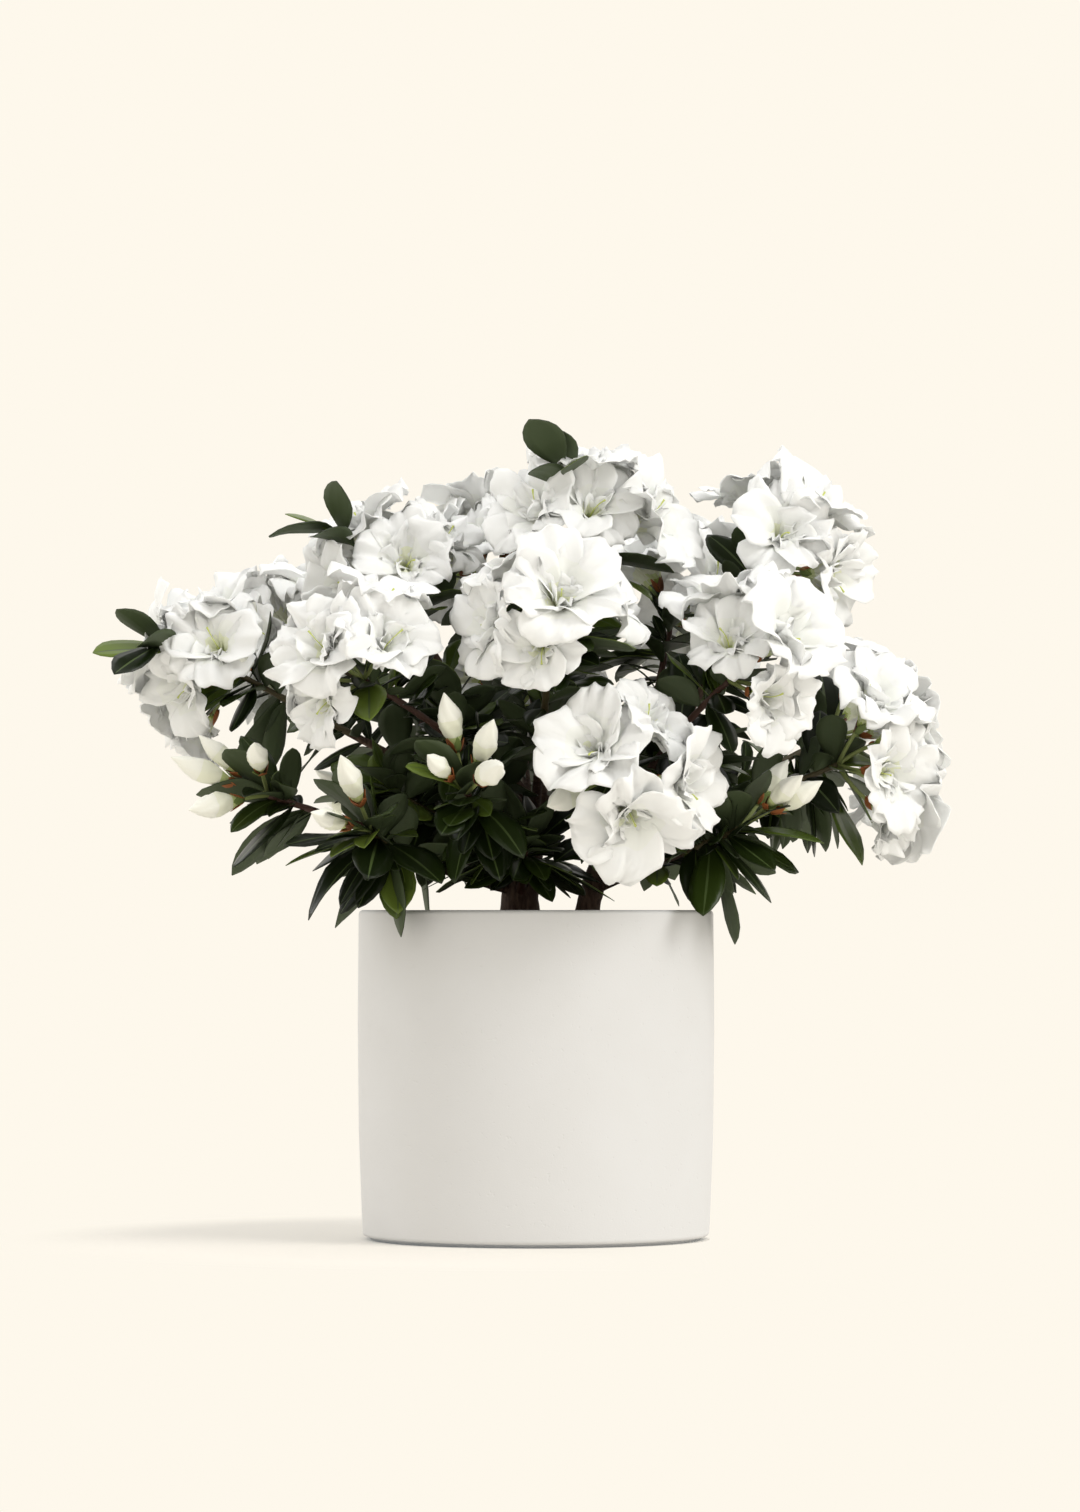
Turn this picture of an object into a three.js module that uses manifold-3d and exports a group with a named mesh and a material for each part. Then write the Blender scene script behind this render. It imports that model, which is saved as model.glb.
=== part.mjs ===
// A white double-flowered azalea shrub in a plain round ceramic pot, standing on the pot's flat foot.
// Millimetres, +Z up, the origin at the centre of the pot's underside, +Y away from the plant's fuller face.
//
// The shrub is a clump of two stems. Boughs leave them and each runs to one mass: a leafy stem that ends in a
// hub, a truss of double blooms or buds fanned round the hub, and whorls of leaves under them.
import * as THREE from "three";
import { mergeVertices } from "three/addons/utils/BufferGeometryUtils.js";
import Module from "manifold-3d";

const wasm = await Module();
wasm.setup();

// ---- Pot and soil ----
const POT_HEIGHT = 164;
const POT_RIM_RADIUS = 88.6;
const POT_BELLY_RADIUS = 89;
const POT_BASE_RADIUS = 86.4;
const POT_WALL = 6;
const POT_FLOOR = 10;
const RIM_ROUND = 2.2; // radius of the rounded lip and of the base's edge
const FOOT_RADIUS = 82; // the flat that the pot stands on, set in so that it throws a thin shadow
const FOOT_HEIGHT = 1.6;
const POT_SIDES = 32;
const SOIL_TOP = 142;
const SOIL_MOUND = 3; // how much the soil is lower at the pot's wall
const GAP = 0.3; // clearance between pieces that touch on the real plant

// ---- Stems, boughs and twigs ----
const TRUNK_POINTS = [[-7, 2, SOIL_TOP + GAP], [-7, 2, 152], [-8, 1, 170], [-4, 0, 196], [2, 1, 222]];
const TRUNK_RADII = [15, 11.5, 9.5, 8, 6];
const SIDE_STEM_POINTS = [[24, 5, SOIL_TOP + GAP], [24, 5, 151], [27, 4, 170], [37, 0, 198], [54, -5, 226]];
const SIDE_STEM_RADII = [9.5, 7, 6, 5.4, 4.6];
const BOUGH_RADIUS = 2.7; // where it leaves its stem
const BOUGH_END_RADIUS = 1.9; // where it enters its mass
const HUB_RADIUS = 1.5; // the leafy stem's end
const TWIG_RADIUS = 1.1;
const BOUGH_SHARE = 0.6; // of the way from stem to hub: the mass's own stem goes on from there
const LIMB_STEPS = 10; // stretches on the whole way from stem to hub
const LEAVING = [12, 50]; // least and most angle above level at which a bough leaves, degrees
const SEAT_STEP = 2; // a bough that would meet another moves its seat by this much at a time
const SEAT_TRIES = 30;
const SWAYS = [0, 0.12, -0.12, 0.24, -0.24]; // and bows to a side by these shares of its length
const LOWEST_SEAT = 166;
const SEAT_BELOW_TOP = 5; // the highest seat, below its stem's top
const HUB_HEIGHTS = [185, 310]; // hubs from here to here have seats from the lowest to the highest
const TIP_BEND = 0.4; // a bough that carries on from a stem's tip keeps its heading for this share of its way
const SEAT_CLEAR = 0.7;
const SEAT_DEPTH = 6; // how far from its stem's middle a bough comes out

// ---- Blooms, buds and leaves ----
const BLOOM_RADIUS = 29;
const BLOOM_DEPTH = 31;
const BUD_LENGTH = 31;
const BUD_RADIUS = 7;
const BLOOM_CLEAR = 3; // from any limb but its own
const LEAF_CLEAR = 3.2;
// Shares of its lean and of its size, and a turn in radians, that a shoot is tried with, one after another.
const SHOOT_TRIES = [
  [1, 1, 0], [1, 1, 0.3], [1, 1, -0.3], [0.88, 0.97, 0], [0.88, 0.97, 0.45], [0.88, 0.97, -0.45],
  [0.95, 0.88, 0.2], [0.95, 0.88, -0.2], [0.72, 0.88, 0], [1.15, 0.9, 0.3], [1.15, 0.9, -0.3], [0.8, 0.8, 0],
  [1, 0.78, 0.5], [1, 0.78, -0.5], [0.6, 0.76, 0.3], [0.6, 0.76, -0.3], [1.3, 0.76, 0], [0.8, 0.7, 0.6],
];
const SHOOT_APART = 0.62; // least distance between two shoots' bases, of the second one's radius
const LEAF_TRIES = 7;
const SPRIG_LENGTH = 50; // a leafy new shoot that rises between the blooms
const SPRIG_LEAN = 0.45; // of the lean of the blooms round it
const SPRIG_LEAVES = 4;
const LEAF_LENGTH = 43;
const LEAF_WIDTH_SHARE = 0.44;
const LEAF_THICKNESS = 0.022; // of its length
// Surfaces nearer to flat than this are made flat where pieces fuse: each is tried until the solid is sound.
const SLIVERS = [0.2, 0.12, 0.3, 0.05];
const LEAF_DROOP = 0.18; // how far its tip hangs below a straight line, of its length
const LEAF_ROLL = 0.75; // greatest turn of a leaf's blade about its midrib, radians
const GOLDEN_ANGLE = 2.39996; // radians between one leaf or shoot and the next

// A mass, by its middle: turn is its compass angle round the pot's axis, in degrees from +X towards +Y, reach
// its distance from that axis, and height its height above the ground. from is the stem that bears it, and a
// direct mass has no bough of its own.
const mass = (name, from, turn, reach, height, grows) => ({
  name, from, turn, reach, height, blooms: 0, buds: 0, sprigs: 0, direct: false, ...grows,
});
const MASSES = [
  mass("crown_top", "trunk_tip", 301, 51, 372, { blooms: 7, sprigs: 1, leaves: 8 }),
  mass("upper_right", "side_tip", 357, 136, 358, { blooms: 7, leaves: 9 }),
  mass("left_upper", "trunk", 190, 81, 350, { blooms: 7, sprigs: 1, leaves: 9 }),
  mass("far_left", "trunk", 183, 175, 296, { blooms: 7, buds: 2, sprigs: 1, leaves: 13 }),
  mass("front_left", "trunk", 227, 146, 290, { blooms: 7, leaves: 13 }),
  mass("front_middle", "trunk", 274, 126, 312, { blooms: 7, leaves: 12 }),
  mass("front_right", "side", 319, 148, 290, { blooms: 7, leaves: 12 }),
  mass("far_right", "side", 352, 180, 243, { blooms: 4, leaves: 11 }),
  mass("low_front_right", "side", 290, 132, 236, { blooms: 4, buds: 1, leaves: 10 }),
  mass("top_back", "trunk", 116, 69, 360, { blooms: 7, leaves: 8 }),
  mass("back_middle", "trunk", 94, 140, 288, { blooms: 7, leaves: 8 }),
  mass("back_left", "trunk", 149, 152, 312, { blooms: 7, leaves: 8 }),
  mass("back_right", "side", 44, 117, 336, { blooms: 7, leaves: 8 }),
  mass("right_back", "side", 20, 190, 262, { blooms: 5, buds: 1, leaves: 11 }),
  mass("low_left", "trunk", 204, 155, 228, { buds: 4, leaves: 16 }),
  mass("low_right", "side", 333, 123, 212, { buds: 3, leaves: 17 }),
  mass("low_front", "trunk", 252, 118, 230, { buds: 4, leaves: 16 }),
  mass("low_back_left", "trunk", 129, 134, 220, { buds: 3, leaves: 13 }),
  mass("low_back_right", "side", 54, 143, 228, { buds: 3, leaves: 13 }),
  mass("inner_left", "trunk", 207, 89, 234, { leaves: 15 }),
  mass("inner_front", "trunk", 264, 55, 206, { leaves: 15, direct: true }),
  mass("inner_middle", "trunk", 197, 48, 274, { leaves: 12 }),
  mass("inner_right", "side", 342, 92, 250, { leaves: 13 }),
  mass("low_front_left", "trunk", 230, 135, 210, { buds: 2, leaves: 16 }),
];
// A mass's fan looks straight away from the first point with blooms and from the second without.
const CROWN_FOCUS = [[0, 22, 200], [0, 0, 120]];
const HUB_BACK = [30, 14]; // how far behind its middle a mass's hub lies, with blooms and without
const SPACE_SIZE = [52, 38]; // weighs a mass's space against its neighbours', with blooms and without
const SPACE_MARGIN = 0.35; // from the plane between two masses
const POT_CLEAR = 3;
const SHOOT = [21, 19]; // from the hub to a bloom's or bud's base, with blooms and without

const RAD = Math.PI / 180;
const UP = new THREE.Vector3(0, 0, 1);
const v3 = (x, y, z) => new THREE.Vector3(x, y, z);
const mix = (a, b, t) => a + (b - a) * t;

// Seeded draws from 0 to 1, the same on every machine.
function draws(seed) {
  let state = Math.imul(seed + 1, 2654435761) >>> 0;
  const next = () => {
    state = (Math.imul(state, 1664525) + 1013904223) >>> 0;
    return state / 4294967296;
  };
  for (let i = 0; i < 4; i++) next();
  return next;
}

// ---- Solids ----
// A closed mesh of points and triangles as a manifold solid.
function solidFrom(points, faces) {
  const made = new wasm.Mesh({
    numProp: 3,
    vertProperties: new Float32Array(points.flatMap((p) => [p.x, p.y, p.z])),
    triVerts: new Uint32Array(faces.flat()),
  });
  return new wasm.Manifold(made);
}

// The largest body alone, with slivers smoothed away: loose scraps and sealed hollows go. It is left as it
// was where no smoothing gives a sound solid.
function oneBody(solid, otherwise) {
  const tries = SLIVERS.map((sliver) =>
    solid.simplify(sliver).decompose().reduce((a, b) => (b.volume() > a.volume() ? b : a)),
  );
  return tries.find(sound) ?? otherwise;
}

function geometryOf(solid) {
  const mesh = solid.getMesh();
  const geometry = new THREE.BufferGeometry();
  geometry.setAttribute("position", new THREE.BufferAttribute(new Float32Array(mesh.vertProperties), 3));
  geometry.setIndex(new THREE.BufferAttribute(new Uint32Array(mesh.triVerts), 1));
  geometry.computeVertexNormals();
  return geometry;
}

// True if each edge joins just two faces once corners that are at nearly one place are merged.
function sound(solid) {
  const index = mergeVertices(geometryOf(solid).deleteAttribute("normal"), 1e-3).index.array;
  const edges = new Map();
  for (let i = 0; i < index.length; i += 3) {
    const face = [index[i], index[i + 1], index[i + 2]];
    if (new Set(face).size < 3) continue;
    face.forEach((a, k) => {
      const b = face[(k + 1) % 3];
      const name = Math.min(a, b) + " " + Math.max(a, b);
      edges.set(name, (edges.get(name) ?? 0) + 1);
    });
  }
  return [...edges.values()].every((faces) => faces === 2);
}

// The direction square to an axis, turned round it by spin from the level one.
function across(axis, spin) {
  const pole = Math.abs(axis.z) > 0.95 ? v3(1, 0, 0) : UP;
  const side = v3().crossVectors(pole, axis).normalize();
  const other = v3().crossVectors(axis, side);
  return side.multiplyScalar(Math.cos(spin)).addScaledVector(other, Math.sin(spin));
}

// A tapering limb: one ring of corners at each point, square to the way, with flat ends. Each ring takes its
// start from the ring before, so that the limb doesn't twist.
function limb(points, radii, sides) {
  const corners = [];
  const faces = [];
  let start = null;
  points.forEach((p, i) => {
    const ahead = points[Math.min(i + 1, points.length - 1)];
    const heading = ahead.clone().sub(points[Math.max(i - 1, 0)]).normalize();
    start ??= across(heading, 0);
    start = start.clone().addScaledVector(heading, -start.dot(heading)).normalize();
    const other = v3().crossVectors(heading, start);
    for (let k = 0; k < sides; k++) {
      const turn = (2 * Math.PI * k) / sides;
      const side = start.clone().multiplyScalar(Math.cos(turn)).addScaledVector(other, Math.sin(turn));
      corners.push(p.clone().addScaledVector(side, radii[i]));
    }
  });
  for (let i = 0; i + 1 < points.length; i++) {
    for (let k = 0; k < sides; k++) {
      const a = i * sides + k;
      const b = i * sides + ((k + 1) % sides);
      faces.push([a, b, b + sides], [a, b + sides, a + sides]);
    }
  }
  const last = (points.length - 1) * sides;
  for (let k = 1; k + 1 < sides; k++) {
    faces.push([0, k + 1, k], [last, last + k, last + k + 1]);
  }
  return solidFrom(corners, faces);
}

// ---- Growth: where stems, boughs, hubs and shoots run ----
function smoothWay(points, radii, steps) {
  const curve = new THREE.CatmullRomCurve3(points.map((p) => v3(...p)), false, "catmullrom", 0.5);
  const way = [];
  const thickness = [];
  for (let i = 0; i <= steps; i++) {
    const t = (i / steps) * (points.length - 1);
    const k = Math.min(Math.floor(t), points.length - 2);
    way.push(curve.getPoint(i / steps));
    thickness.push(mix(radii[k], radii[k + 1], t - k));
  }
  return { way, thickness };
}

const stems = {
  trunk: smoothWay(TRUNK_POINTS, TRUNK_RADII, LIMB_STEPS),
  side: smoothWay(SIDE_STEM_POINTS, SIDE_STEM_RADII, LIMB_STEPS),
};

// The point on a way at a height.
function pointAt(way, height) {
  const i = Math.max(1, way.findIndex((p) => p.z >= height));
  const share = (height - way[i - 1].z) / (way[i].z - way[i - 1].z);
  return way[i - 1].clone().lerp(way[i], share);
}

const middleOf = ({ turn, reach, height }) =>
  v3(reach * Math.cos(turn * RAD), reach * Math.sin(turn * RAD), height);
const sizeFor = (mass, pair) => pair[mass.blooms ? 0 : 1];
const outward = (mass) => middleOf(mass).sub(v3(...sizeFor(mass, CROWN_FOCUS))).normalize();
const hubOf = (mass) => middleOf(mass).addScaledVector(outward(mass), -sizeFor(mass, HUB_BACK));

// The way from a seat to a hub: it leaves at a bounded slope and bends up or down to arrive, and sway is how
// far it bows to a side, of its length.
function wayTo(seat, hub, sway) {
  const flat = v3(hub.x - seat.x, hub.y - seat.y, 0);
  const slope = Math.atan2(hub.z - seat.z, flat.length());
  const leave = Math.min(Math.max(slope, LEAVING[0] * RAD), LEAVING[1] * RAD);
  const start = flat.normalize().multiplyScalar(Math.cos(leave)).addScaledVector(UP, Math.sin(leave));
  const aside = v3(start.y, -start.x, 0).normalize();
  const length = seat.distanceTo(hub);
  const bend = seat.clone().addScaledVector(start, 0.5 * length).addScaledVector(aside, sway * length);
  return new THREE.QuadraticBezierCurve3(seat, bend, hub).getPoints(LIMB_STEPS);
}

// The boughs at the stems' tips come first. The others take seats from the lowest mass up, each at the free
// height nearest to the one that suits its hub.
function growBoughs() {
  const placed = [];
  const clearOf = (way) => placed.every((other) => farApart({ way, tip: false }, other));
  const onTip = (mass) => mass.from.endsWith("_tip");
  for (const mass of [...MASSES].sort((a, b) => onTip(b) - onTip(a) || a.height - b.height)) {
    const hub = hubOf(mass);
    const tip = onTip(mass);
    const { way } = mass.from.startsWith("trunk") ? stems.trunk : stems.side;
    const top = way[way.length - 1];
    if (tip) {
      const heading = top.clone().sub(way[way.length - 2]).normalize();
      const seat = top.clone().addScaledVector(heading, GAP);
      const bend = seat.clone().addScaledVector(heading, TIP_BEND * seat.distanceTo(hub));
      const curve = new THREE.QuadraticBezierCurve3(seat, bend, hub);
      placed.push({ mass, hub, tip, way: curve.getPoints(LIMB_STEPS) });
      continue;
    }
    const rise = (hub.z - HUB_HEIGHTS[0]) / (HUB_HEIGHTS[1] - HUB_HEIGHTS[0]);
    const wish = mix(LOWEST_SEAT, top.z - SEAT_BELOW_TOP, Math.min(Math.max(rise, 0.04), 0.96));
    const offset = (n) => SEAT_STEP * Math.ceil(n / 2) * (n % 2 ? 1 : -1);
    const tries = Array.from({ length: SEAT_TRIES }, (_, n) => wish + offset(n))
      .filter((height) => height > LOWEST_SEAT && height < top.z - SEAT_BELOW_TOP)
      .flatMap((height) => SWAYS.map((sway) => wayTo(pointAt(way, height), hub, sway)));
    placed.push({ mass, hub, tip, way: tries.find(clearOf) });
  }
  return MASSES.map((mass) => placed.find((bough) => bough.mass === mass));
}

// Points a quarter of a stretch apart along a way, each with its share of the way.
function finely(way) {
  return Array.from({ length: 4 * (way.length - 1) }, (_, n) => {
    const i = Math.floor(n / 4);
    return { at: way[i].clone().lerp(way[i + 1], (n % 4) / 4), share: n / 4 / (way.length - 1) };
  });
}

// True if two boughs stay clear of each other, past the part of each that is inside its stem.
function farApart(a, b) {
  const outside = ({ way, tip }) => finely(way).filter(({ at }) => tip || at.distanceTo(way[0]) > SEAT_DEPTH);
  const other = outside(b);
  return outside(a).every((p) => other.every((q) => p.at.distanceTo(q.at) >= 2 * BOUGH_RADIUS + SEAT_CLEAR));
}

const boughs = growBoughs();

// ---- Space: each mass keeps to its own ----
// A mass's space holds the points nearer to its middle than to any other's, each middle weighed by its size.
const spaces = MASSES.map((mass) => ({ middle: middleOf(mass), size: sizeFor(mass, SPACE_SIZE) }));

// Every limb as points with a radius. own marks the leafy stem, which only its own mass may touch.
const limbs = [
  ...boughs.flatMap(({ way }, mass) =>
    finely(way).map(({ at, share }) => ({ at, radius: limbRadius(share), mass, own: share >= BOUGH_SHARE })),
  ),
  ...[stems.trunk, stems.side].flatMap(({ way, thickness }) =>
    finely(way).map(({ at, share }) => ({ at, radius: thickness[Math.floor(share * LIMB_STEPS)], mass: -1 })),
  ),
];

// A limb's radius at a share t of the way from its stem to its hub.
function limbRadius(t) {
  return t < BOUGH_SHARE
    ? mix(BOUGH_RADIUS, BOUGH_END_RADIUS, t / BOUGH_SHARE)
    : mix(BOUGH_END_RADIUS, HUB_RADIUS, (t - BOUGH_SHARE) / (1 - BOUGH_SHARE));
}

// True if every point is in the mass's space, out of the pot and clear of limbs but the mass's own stem.
function fits(points, mass, clear) {
  const { middle, size } = spaces[mass];
  return points.every((p) => {
    if (p.z < POT_HEIGHT + POT_CLEAR && Math.hypot(p.x, p.y) < POT_RIM_RADIUS + POT_CLEAR) return false;
    const own = p.distanceToSquared(middle) - size * size;
    for (let n = 0; n < spaces.length; n++) {
      const other = spaces[n];
      const apart = p.distanceToSquared(other.middle) - other.size * other.size - own;
      if (n !== mass && apart < 2 * SPACE_MARGIN * middle.distanceTo(other.middle)) return false;
    }
    return limbs.every(
      (s) => (s.mass === mass && s.own) || p.distanceTo(s.at) > s.radius + clear,
    );
  });
}

// ---- Blooms, buds and leaves: where they sit ----
// A direction that leans from an axis by an angle, towards a compass point round it.
function lean(axis, polar, azimuth) {
  return axis.clone().multiplyScalar(Math.cos(polar)).addScaledVector(across(axis, azimuth), Math.sin(polar));
}

// Points that a bloom or bud reaches, to test its space by.
function cupPoints(base, aim, radius, depth) {
  const points = [base.clone(), base.clone().addScaledVector(aim, depth)];
  for (let k = 0; k < 8; k++) {
    const side = across(aim, (k * Math.PI) / 4);
    points.push(base.clone().addScaledVector(aim, 0.84 * depth).addScaledVector(side, radius));
    points.push(base.clone().addScaledVector(aim, 0.5 * depth).addScaledVector(side, 0.6 * radius));
  }
  return points;
}

// The point of a leaf at a share u of its length and out of its width from the midrib, which bends down.
function leafPoint({ root, aim, length, width }, side, u, out) {
  const hang = LEAF_DROOP * length * u * u;
  const midrib = root.clone().addScaledVector(aim, length * u).addScaledVector(UP, -hang);
  return midrib.addScaledVector(side, out * width);
}

// Points that a leaf reaches, to test its space by.
function leafPoints({ root, aim, length, width, roll }) {
  const side = across(aim, roll);
  const at = (u, out) => leafPoint({ root, aim, length, width }, side, u, out);
  const midrib = [0.14, 0.34, 0.56, 0.78, 1].map((u) => at(u, 0));
  const margin = [[0.3, 0.3], [0.55, 0.5], [0.8, 0.25]].flatMap(([u, out]) => [at(u, out), at(u, -out)]);
  return [...midrib, ...margin];
}

// How far round the fan's middle its ring of blooms leans, degrees, by how many there are.
const RING_LEAN = { 1: 8, 2: 30, 3: 36, 4: 44, 5: 56, 6: 60, 7: 62 };

// What grows on one mass, by its seeded rule. A bloom or bud that doesn't fit is tried smaller and nearer the
// middle of the fan, then left out; a leaf is tried further round.
function growMass({ mass, hub, way }, index) {
  const next = draws(index);
  const axis = outward(mass);
  const phase = 2 * Math.PI * next();
  const middle = mass.blooms >= 5 ? 1 : 0;
  const ring = Math.max(mass.blooms - middle, 1);
  const open = (RING_LEAN[mass.blooms] ?? 50) * RAD;
  const reach = sizeFor(mass, SHOOT);
  const shoots = [];
  const place = (kind, polar, azimuth, length, radius, depth) => {
    for (const [pull, shrink, turn] of SHOOT_TRIES) {
      const aim = lean(axis, polar * pull, azimuth + turn);
      const base = hub.clone().addScaledVector(aim, length * (0.5 + 0.5 * shrink));
      const size = { radius: radius * shrink, depth: depth * shrink };
      const alone = shoots.every((other) => other.base.distanceTo(base) > SHOOT_APART * size.radius);
      if (alone && fits(cupPoints(base, aim, size.radius, size.depth), index, BLOOM_CLEAR)) {
        shoots.push({ kind, foot: hub, base, aim, spin: azimuth, ...size });
        return;
      }
    }
  };
  for (let k = 0; k < mass.blooms; k++) {
    const size = mix(0.92, 1.1, next());
    const polar = k < middle ? 0.1 : open * mix(0.94, 1.08, next());
    const azimuth = phase + (2 * Math.PI * (k - middle + mix(-0.06, 0.06, next()))) / ring;
    place("bloom", polar, azimuth, reach * mix(0.94, 1.12, next()), BLOOM_RADIUS * size, BLOOM_DEPTH * size);
  }
  for (let k = 0; k < mass.buds; k++) {
    const size = mix(0.8, 1.1, next());
    const polar = open * (mass.blooms ? mix(1.5, 1.7, next()) : mix(0.15, 0.95, next()));
    const azimuth = phase + Math.PI / ring + GOLDEN_ANGLE * k;
    place("bud", polar, azimuth, reach * mix(0.9, 1.4, next()), BUD_RADIUS * size, BUD_LENGTH * size);
  }
  const leaves = [];
  for (let n = 0; n < mass.sprigs; n++) {
    const aim = lean(axis, SPRIG_LEAN * open, phase + (Math.PI * (2 * n + 1)) / ring);
    const base = hub.clone().addScaledVector(aim, SPRIG_LENGTH);
    const tuft = Array.from({ length: SPRIG_LEAVES }, (_, k) => {
      const length = LEAF_LENGTH * mix(0.8, 1.05, next());
      const side = lean(aim, mix(0.2, 0.75, next()), phase + GOLDEN_ANGLE * k);
      const root = hub.clone().lerp(base, 0.97 - 0.08 * k);
      const width = length * LEAF_WIDTH_SHARE;
      return { root, aim: side, length, width, roll: LEAF_ROLL * mix(-1, 1, next()) };
    }).filter((leaf) => fits(leafPoints(leaf), index, LEAF_CLEAR));
    if (tuft.length) shoots.push({ kind: "sprig", foot: hub, base, aim, radius: 2, depth: 2, spin: 0 });
    leaves.push(...tuft);
  }
  for (let k = 0; k < mass.leaves; k++) {
    const u = (k + 0.5) / mass.leaves;
    const polar = (mix(124, mass.blooms ? 66 : 16, u) + mix(-9, 9, next())) * RAD;
    const length = LEAF_LENGTH * mix(0.72, 1.16, next());
    const width = length * LEAF_WIDTH_SHARE * mix(0.85, 1.15, next());
    const roll = LEAF_ROLL * mix(-1, 1, next());
    const spot = mix(0.76, 0.99, u) * LIMB_STEPS;
    const i = Math.floor(spot);
    const root = way[i].clone().lerp(way[i + 1], spot - i);
    for (let turn = 0; turn < LEAF_TRIES; turn++) {
      const aim = lean(axis, polar, phase + GOLDEN_ANGLE * (k + 0.5 + turn * 0.31));
      const leaf = { root, aim, length, width, roll };
      const points = leafPoints(leaf);
      const inBloom = points.some((p) => shoots.some((shoot) => inCup(p, shoot)));
      if (!inBloom && fits(points, index, LEAF_CLEAR)) {
        leaves.push(leaf);
        break;
      }
    }
  }
  return { shoots, leaves };
}

// True if a point is inside a bloom's or bud's cone.
function inCup(p, { base, aim, radius, depth }) {
  const from = p.clone().sub(base);
  const height = from.dot(aim);
  const out = Math.sqrt(Math.max(from.lengthSq() - height * height, 0));
  return height > 0 && height < depth && out < radius * Math.min(1, 0.25 + height / (0.8 * depth));
}

// ---- Blooms, buds and leaves: their solids ----
// A double bloom: a funnel of five lobes with a waving rim, filled to a low cone by its small petals.
function bloomSolid(shoot) {
  const rings = [
    { count: 5, out: () => 0.08, up: () => 0 },
    { count: 10, out: (k) => (k % 2 ? 0.84 : 1), up: (k) => (k % 2 ? 0.9 : 0.68) },
  ];
  return turnedSolid(rings, 0.95, shoot);
}

// A bud: a slim pointed spindle.
function budSolid(shoot) {
  const rings = [
    { count: 4, out: () => 0.25, up: () => 0 },
    { count: 4, out: () => 1, up: () => 0.45 },
  ];
  return turnedSolid(rings, 1, shoot);
}

// A closed solid that starts in a point sunk in the hub and runs through rings round its aim: out is a share
// of the radius and up a share of the depth. It ends in a point at top. A ring may have twice the corners of
// the one before.
function turnedSolid(rings, top, { foot, base, aim, radius, depth, spin }) {
  const points = [foot.clone().addScaledVector(aim, -0.6 * HUB_RADIUS)];
  const starts = [];
  for (const { count, out, up } of rings) {
    starts.push(points.length);
    for (let k = 0; k < count; k++) {
      const side = across(aim, spin + (2 * Math.PI * k) / count);
      points.push(base.clone().addScaledVector(aim, depth * up(k)).addScaledVector(side, radius * out(k)));
    }
  }
  points.push(base.clone().addScaledVector(aim, depth * top));
  const faces = [];
  const end = points.length - 1;
  rings.forEach(({ count }, r) => {
    const low = starts[r];
    const after = rings[r + 1];
    for (let k = 0; k < count; k++) {
      const next = (k + 1) % count;
      if (r === 0) faces.push([0, low + next, low + k]);
      if (!after) {
        faces.push([low + k, low + next, end]);
        continue;
      }
      const high = starts[r + 1];
      if (after.count === count) {
        faces.push([low + k, low + next, high + next], [low + k, high + next, high + k]);
      } else {
        const b = high + 2 * k;
        const c = high + ((2 * k + 2) % after.count);
        faces.push([low + k, b + 1, b], [low + k, low + next, b + 1], [low + next, c, b + 1]);
      }
    }
  });
  return solidFrom(points, faces);
}

// A sprig: a bare three-sided twig, whose leaves stand round its end.
function sprigSolid({ foot, base }) {
  return limb([foot, base], [HUB_RADIUS, TWIG_RADIUS], 3);
}

const SHOOT_SOLIDS = { bloom: bloomSolid, bud: budSolid, sprig: sprigSolid };

// A leaf: outline corners round a raised and a lowered point on its midrib. Its root is sunk past the middle
// of its twig.
const LEAF_OUTLINE = [[-0.012, 0], [0.52, 0.5], [1, 0], [0.52, -0.5]];
const LEAF_THICKEST = 0.13; // where the raised and lowered points are, of its length
function leafSolid(leaf) {
  const side = across(leaf.aim, leaf.roll);
  const lift = v3().crossVectors(leaf.aim, side).multiplyScalar((LEAF_THICKNESS * leaf.length) / 2);
  const outline = LEAF_OUTLINE.map(([u, out]) => leafPoint(leaf, side, u, out));
  const rib = leafPoint(leaf, side, LEAF_THICKEST, 0);
  const count = outline.length;
  const faces = outline.flatMap((_, k) => {
    const next = (k + 1) % count;
    return [[k, count, next], [next, count + 1, k]];
  });
  return solidFrom([...outline, rib.clone().add(lift), rib.clone().sub(lift)], faces);
}

const root = new THREE.Group();
const colours = { pot: 0xe9e4da, soil: 0x33271d, bark: 0x6b4a38, foliage: 0xf2f1ea, leaf: 0x33461f };

function add(name, solid, color, roughness) {
  const geometry = solid instanceof THREE.BufferGeometry ? solid : geometryOf(solid);
  const mesh = new THREE.Mesh(geometry, new THREE.MeshStandardMaterial({ color, roughness, metalness: 0 }));
  mesh.name = name;
  root.add(mesh);
}

// ---- Pot and soil ----
function turned(profile) {
  const geometry = new THREE.LatheGeometry(profile.map(([r, z]) => new THREE.Vector2(r, z)), POT_SIDES);
  return geometry.rotateX(Math.PI / 2);
}

const ROUND_STEPS = 2;

// Points of a quarter round about a centre, from one angle to another, degrees.
function quarter([r, z], radius, from, to) {
  return Array.from({ length: ROUND_STEPS + 1 }, (_, i) => {
    const a = mix(from, to, i / ROUND_STEPS) * RAD;
    return [r + radius * Math.cos(a), z + radius * Math.sin(a)];
  });
}

function potProfile() {
  const inner = POT_RIM_RADIUS - POT_WALL;
  return [
    [0, 0],
    [FOOT_RADIUS, 0],
    [FOOT_RADIUS + 1, FOOT_HEIGHT],
    ...quarter([POT_BASE_RADIUS - RIM_ROUND, FOOT_HEIGHT + RIM_ROUND], RIM_ROUND, -90, 0),
    [mix(POT_BASE_RADIUS, POT_BELLY_RADIUS, 0.75), 0.32 * POT_HEIGHT],
    [POT_BELLY_RADIUS, 0.66 * POT_HEIGHT],
    ...quarter([POT_RIM_RADIUS - RIM_ROUND, POT_HEIGHT - RIM_ROUND], RIM_ROUND, 0, 90),
    ...quarter([inner + RIM_ROUND, POT_HEIGHT - RIM_ROUND], RIM_ROUND, 90, 180),
    [inner, POT_FLOOR],
    [0, POT_FLOOR],
  ];
}

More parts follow.
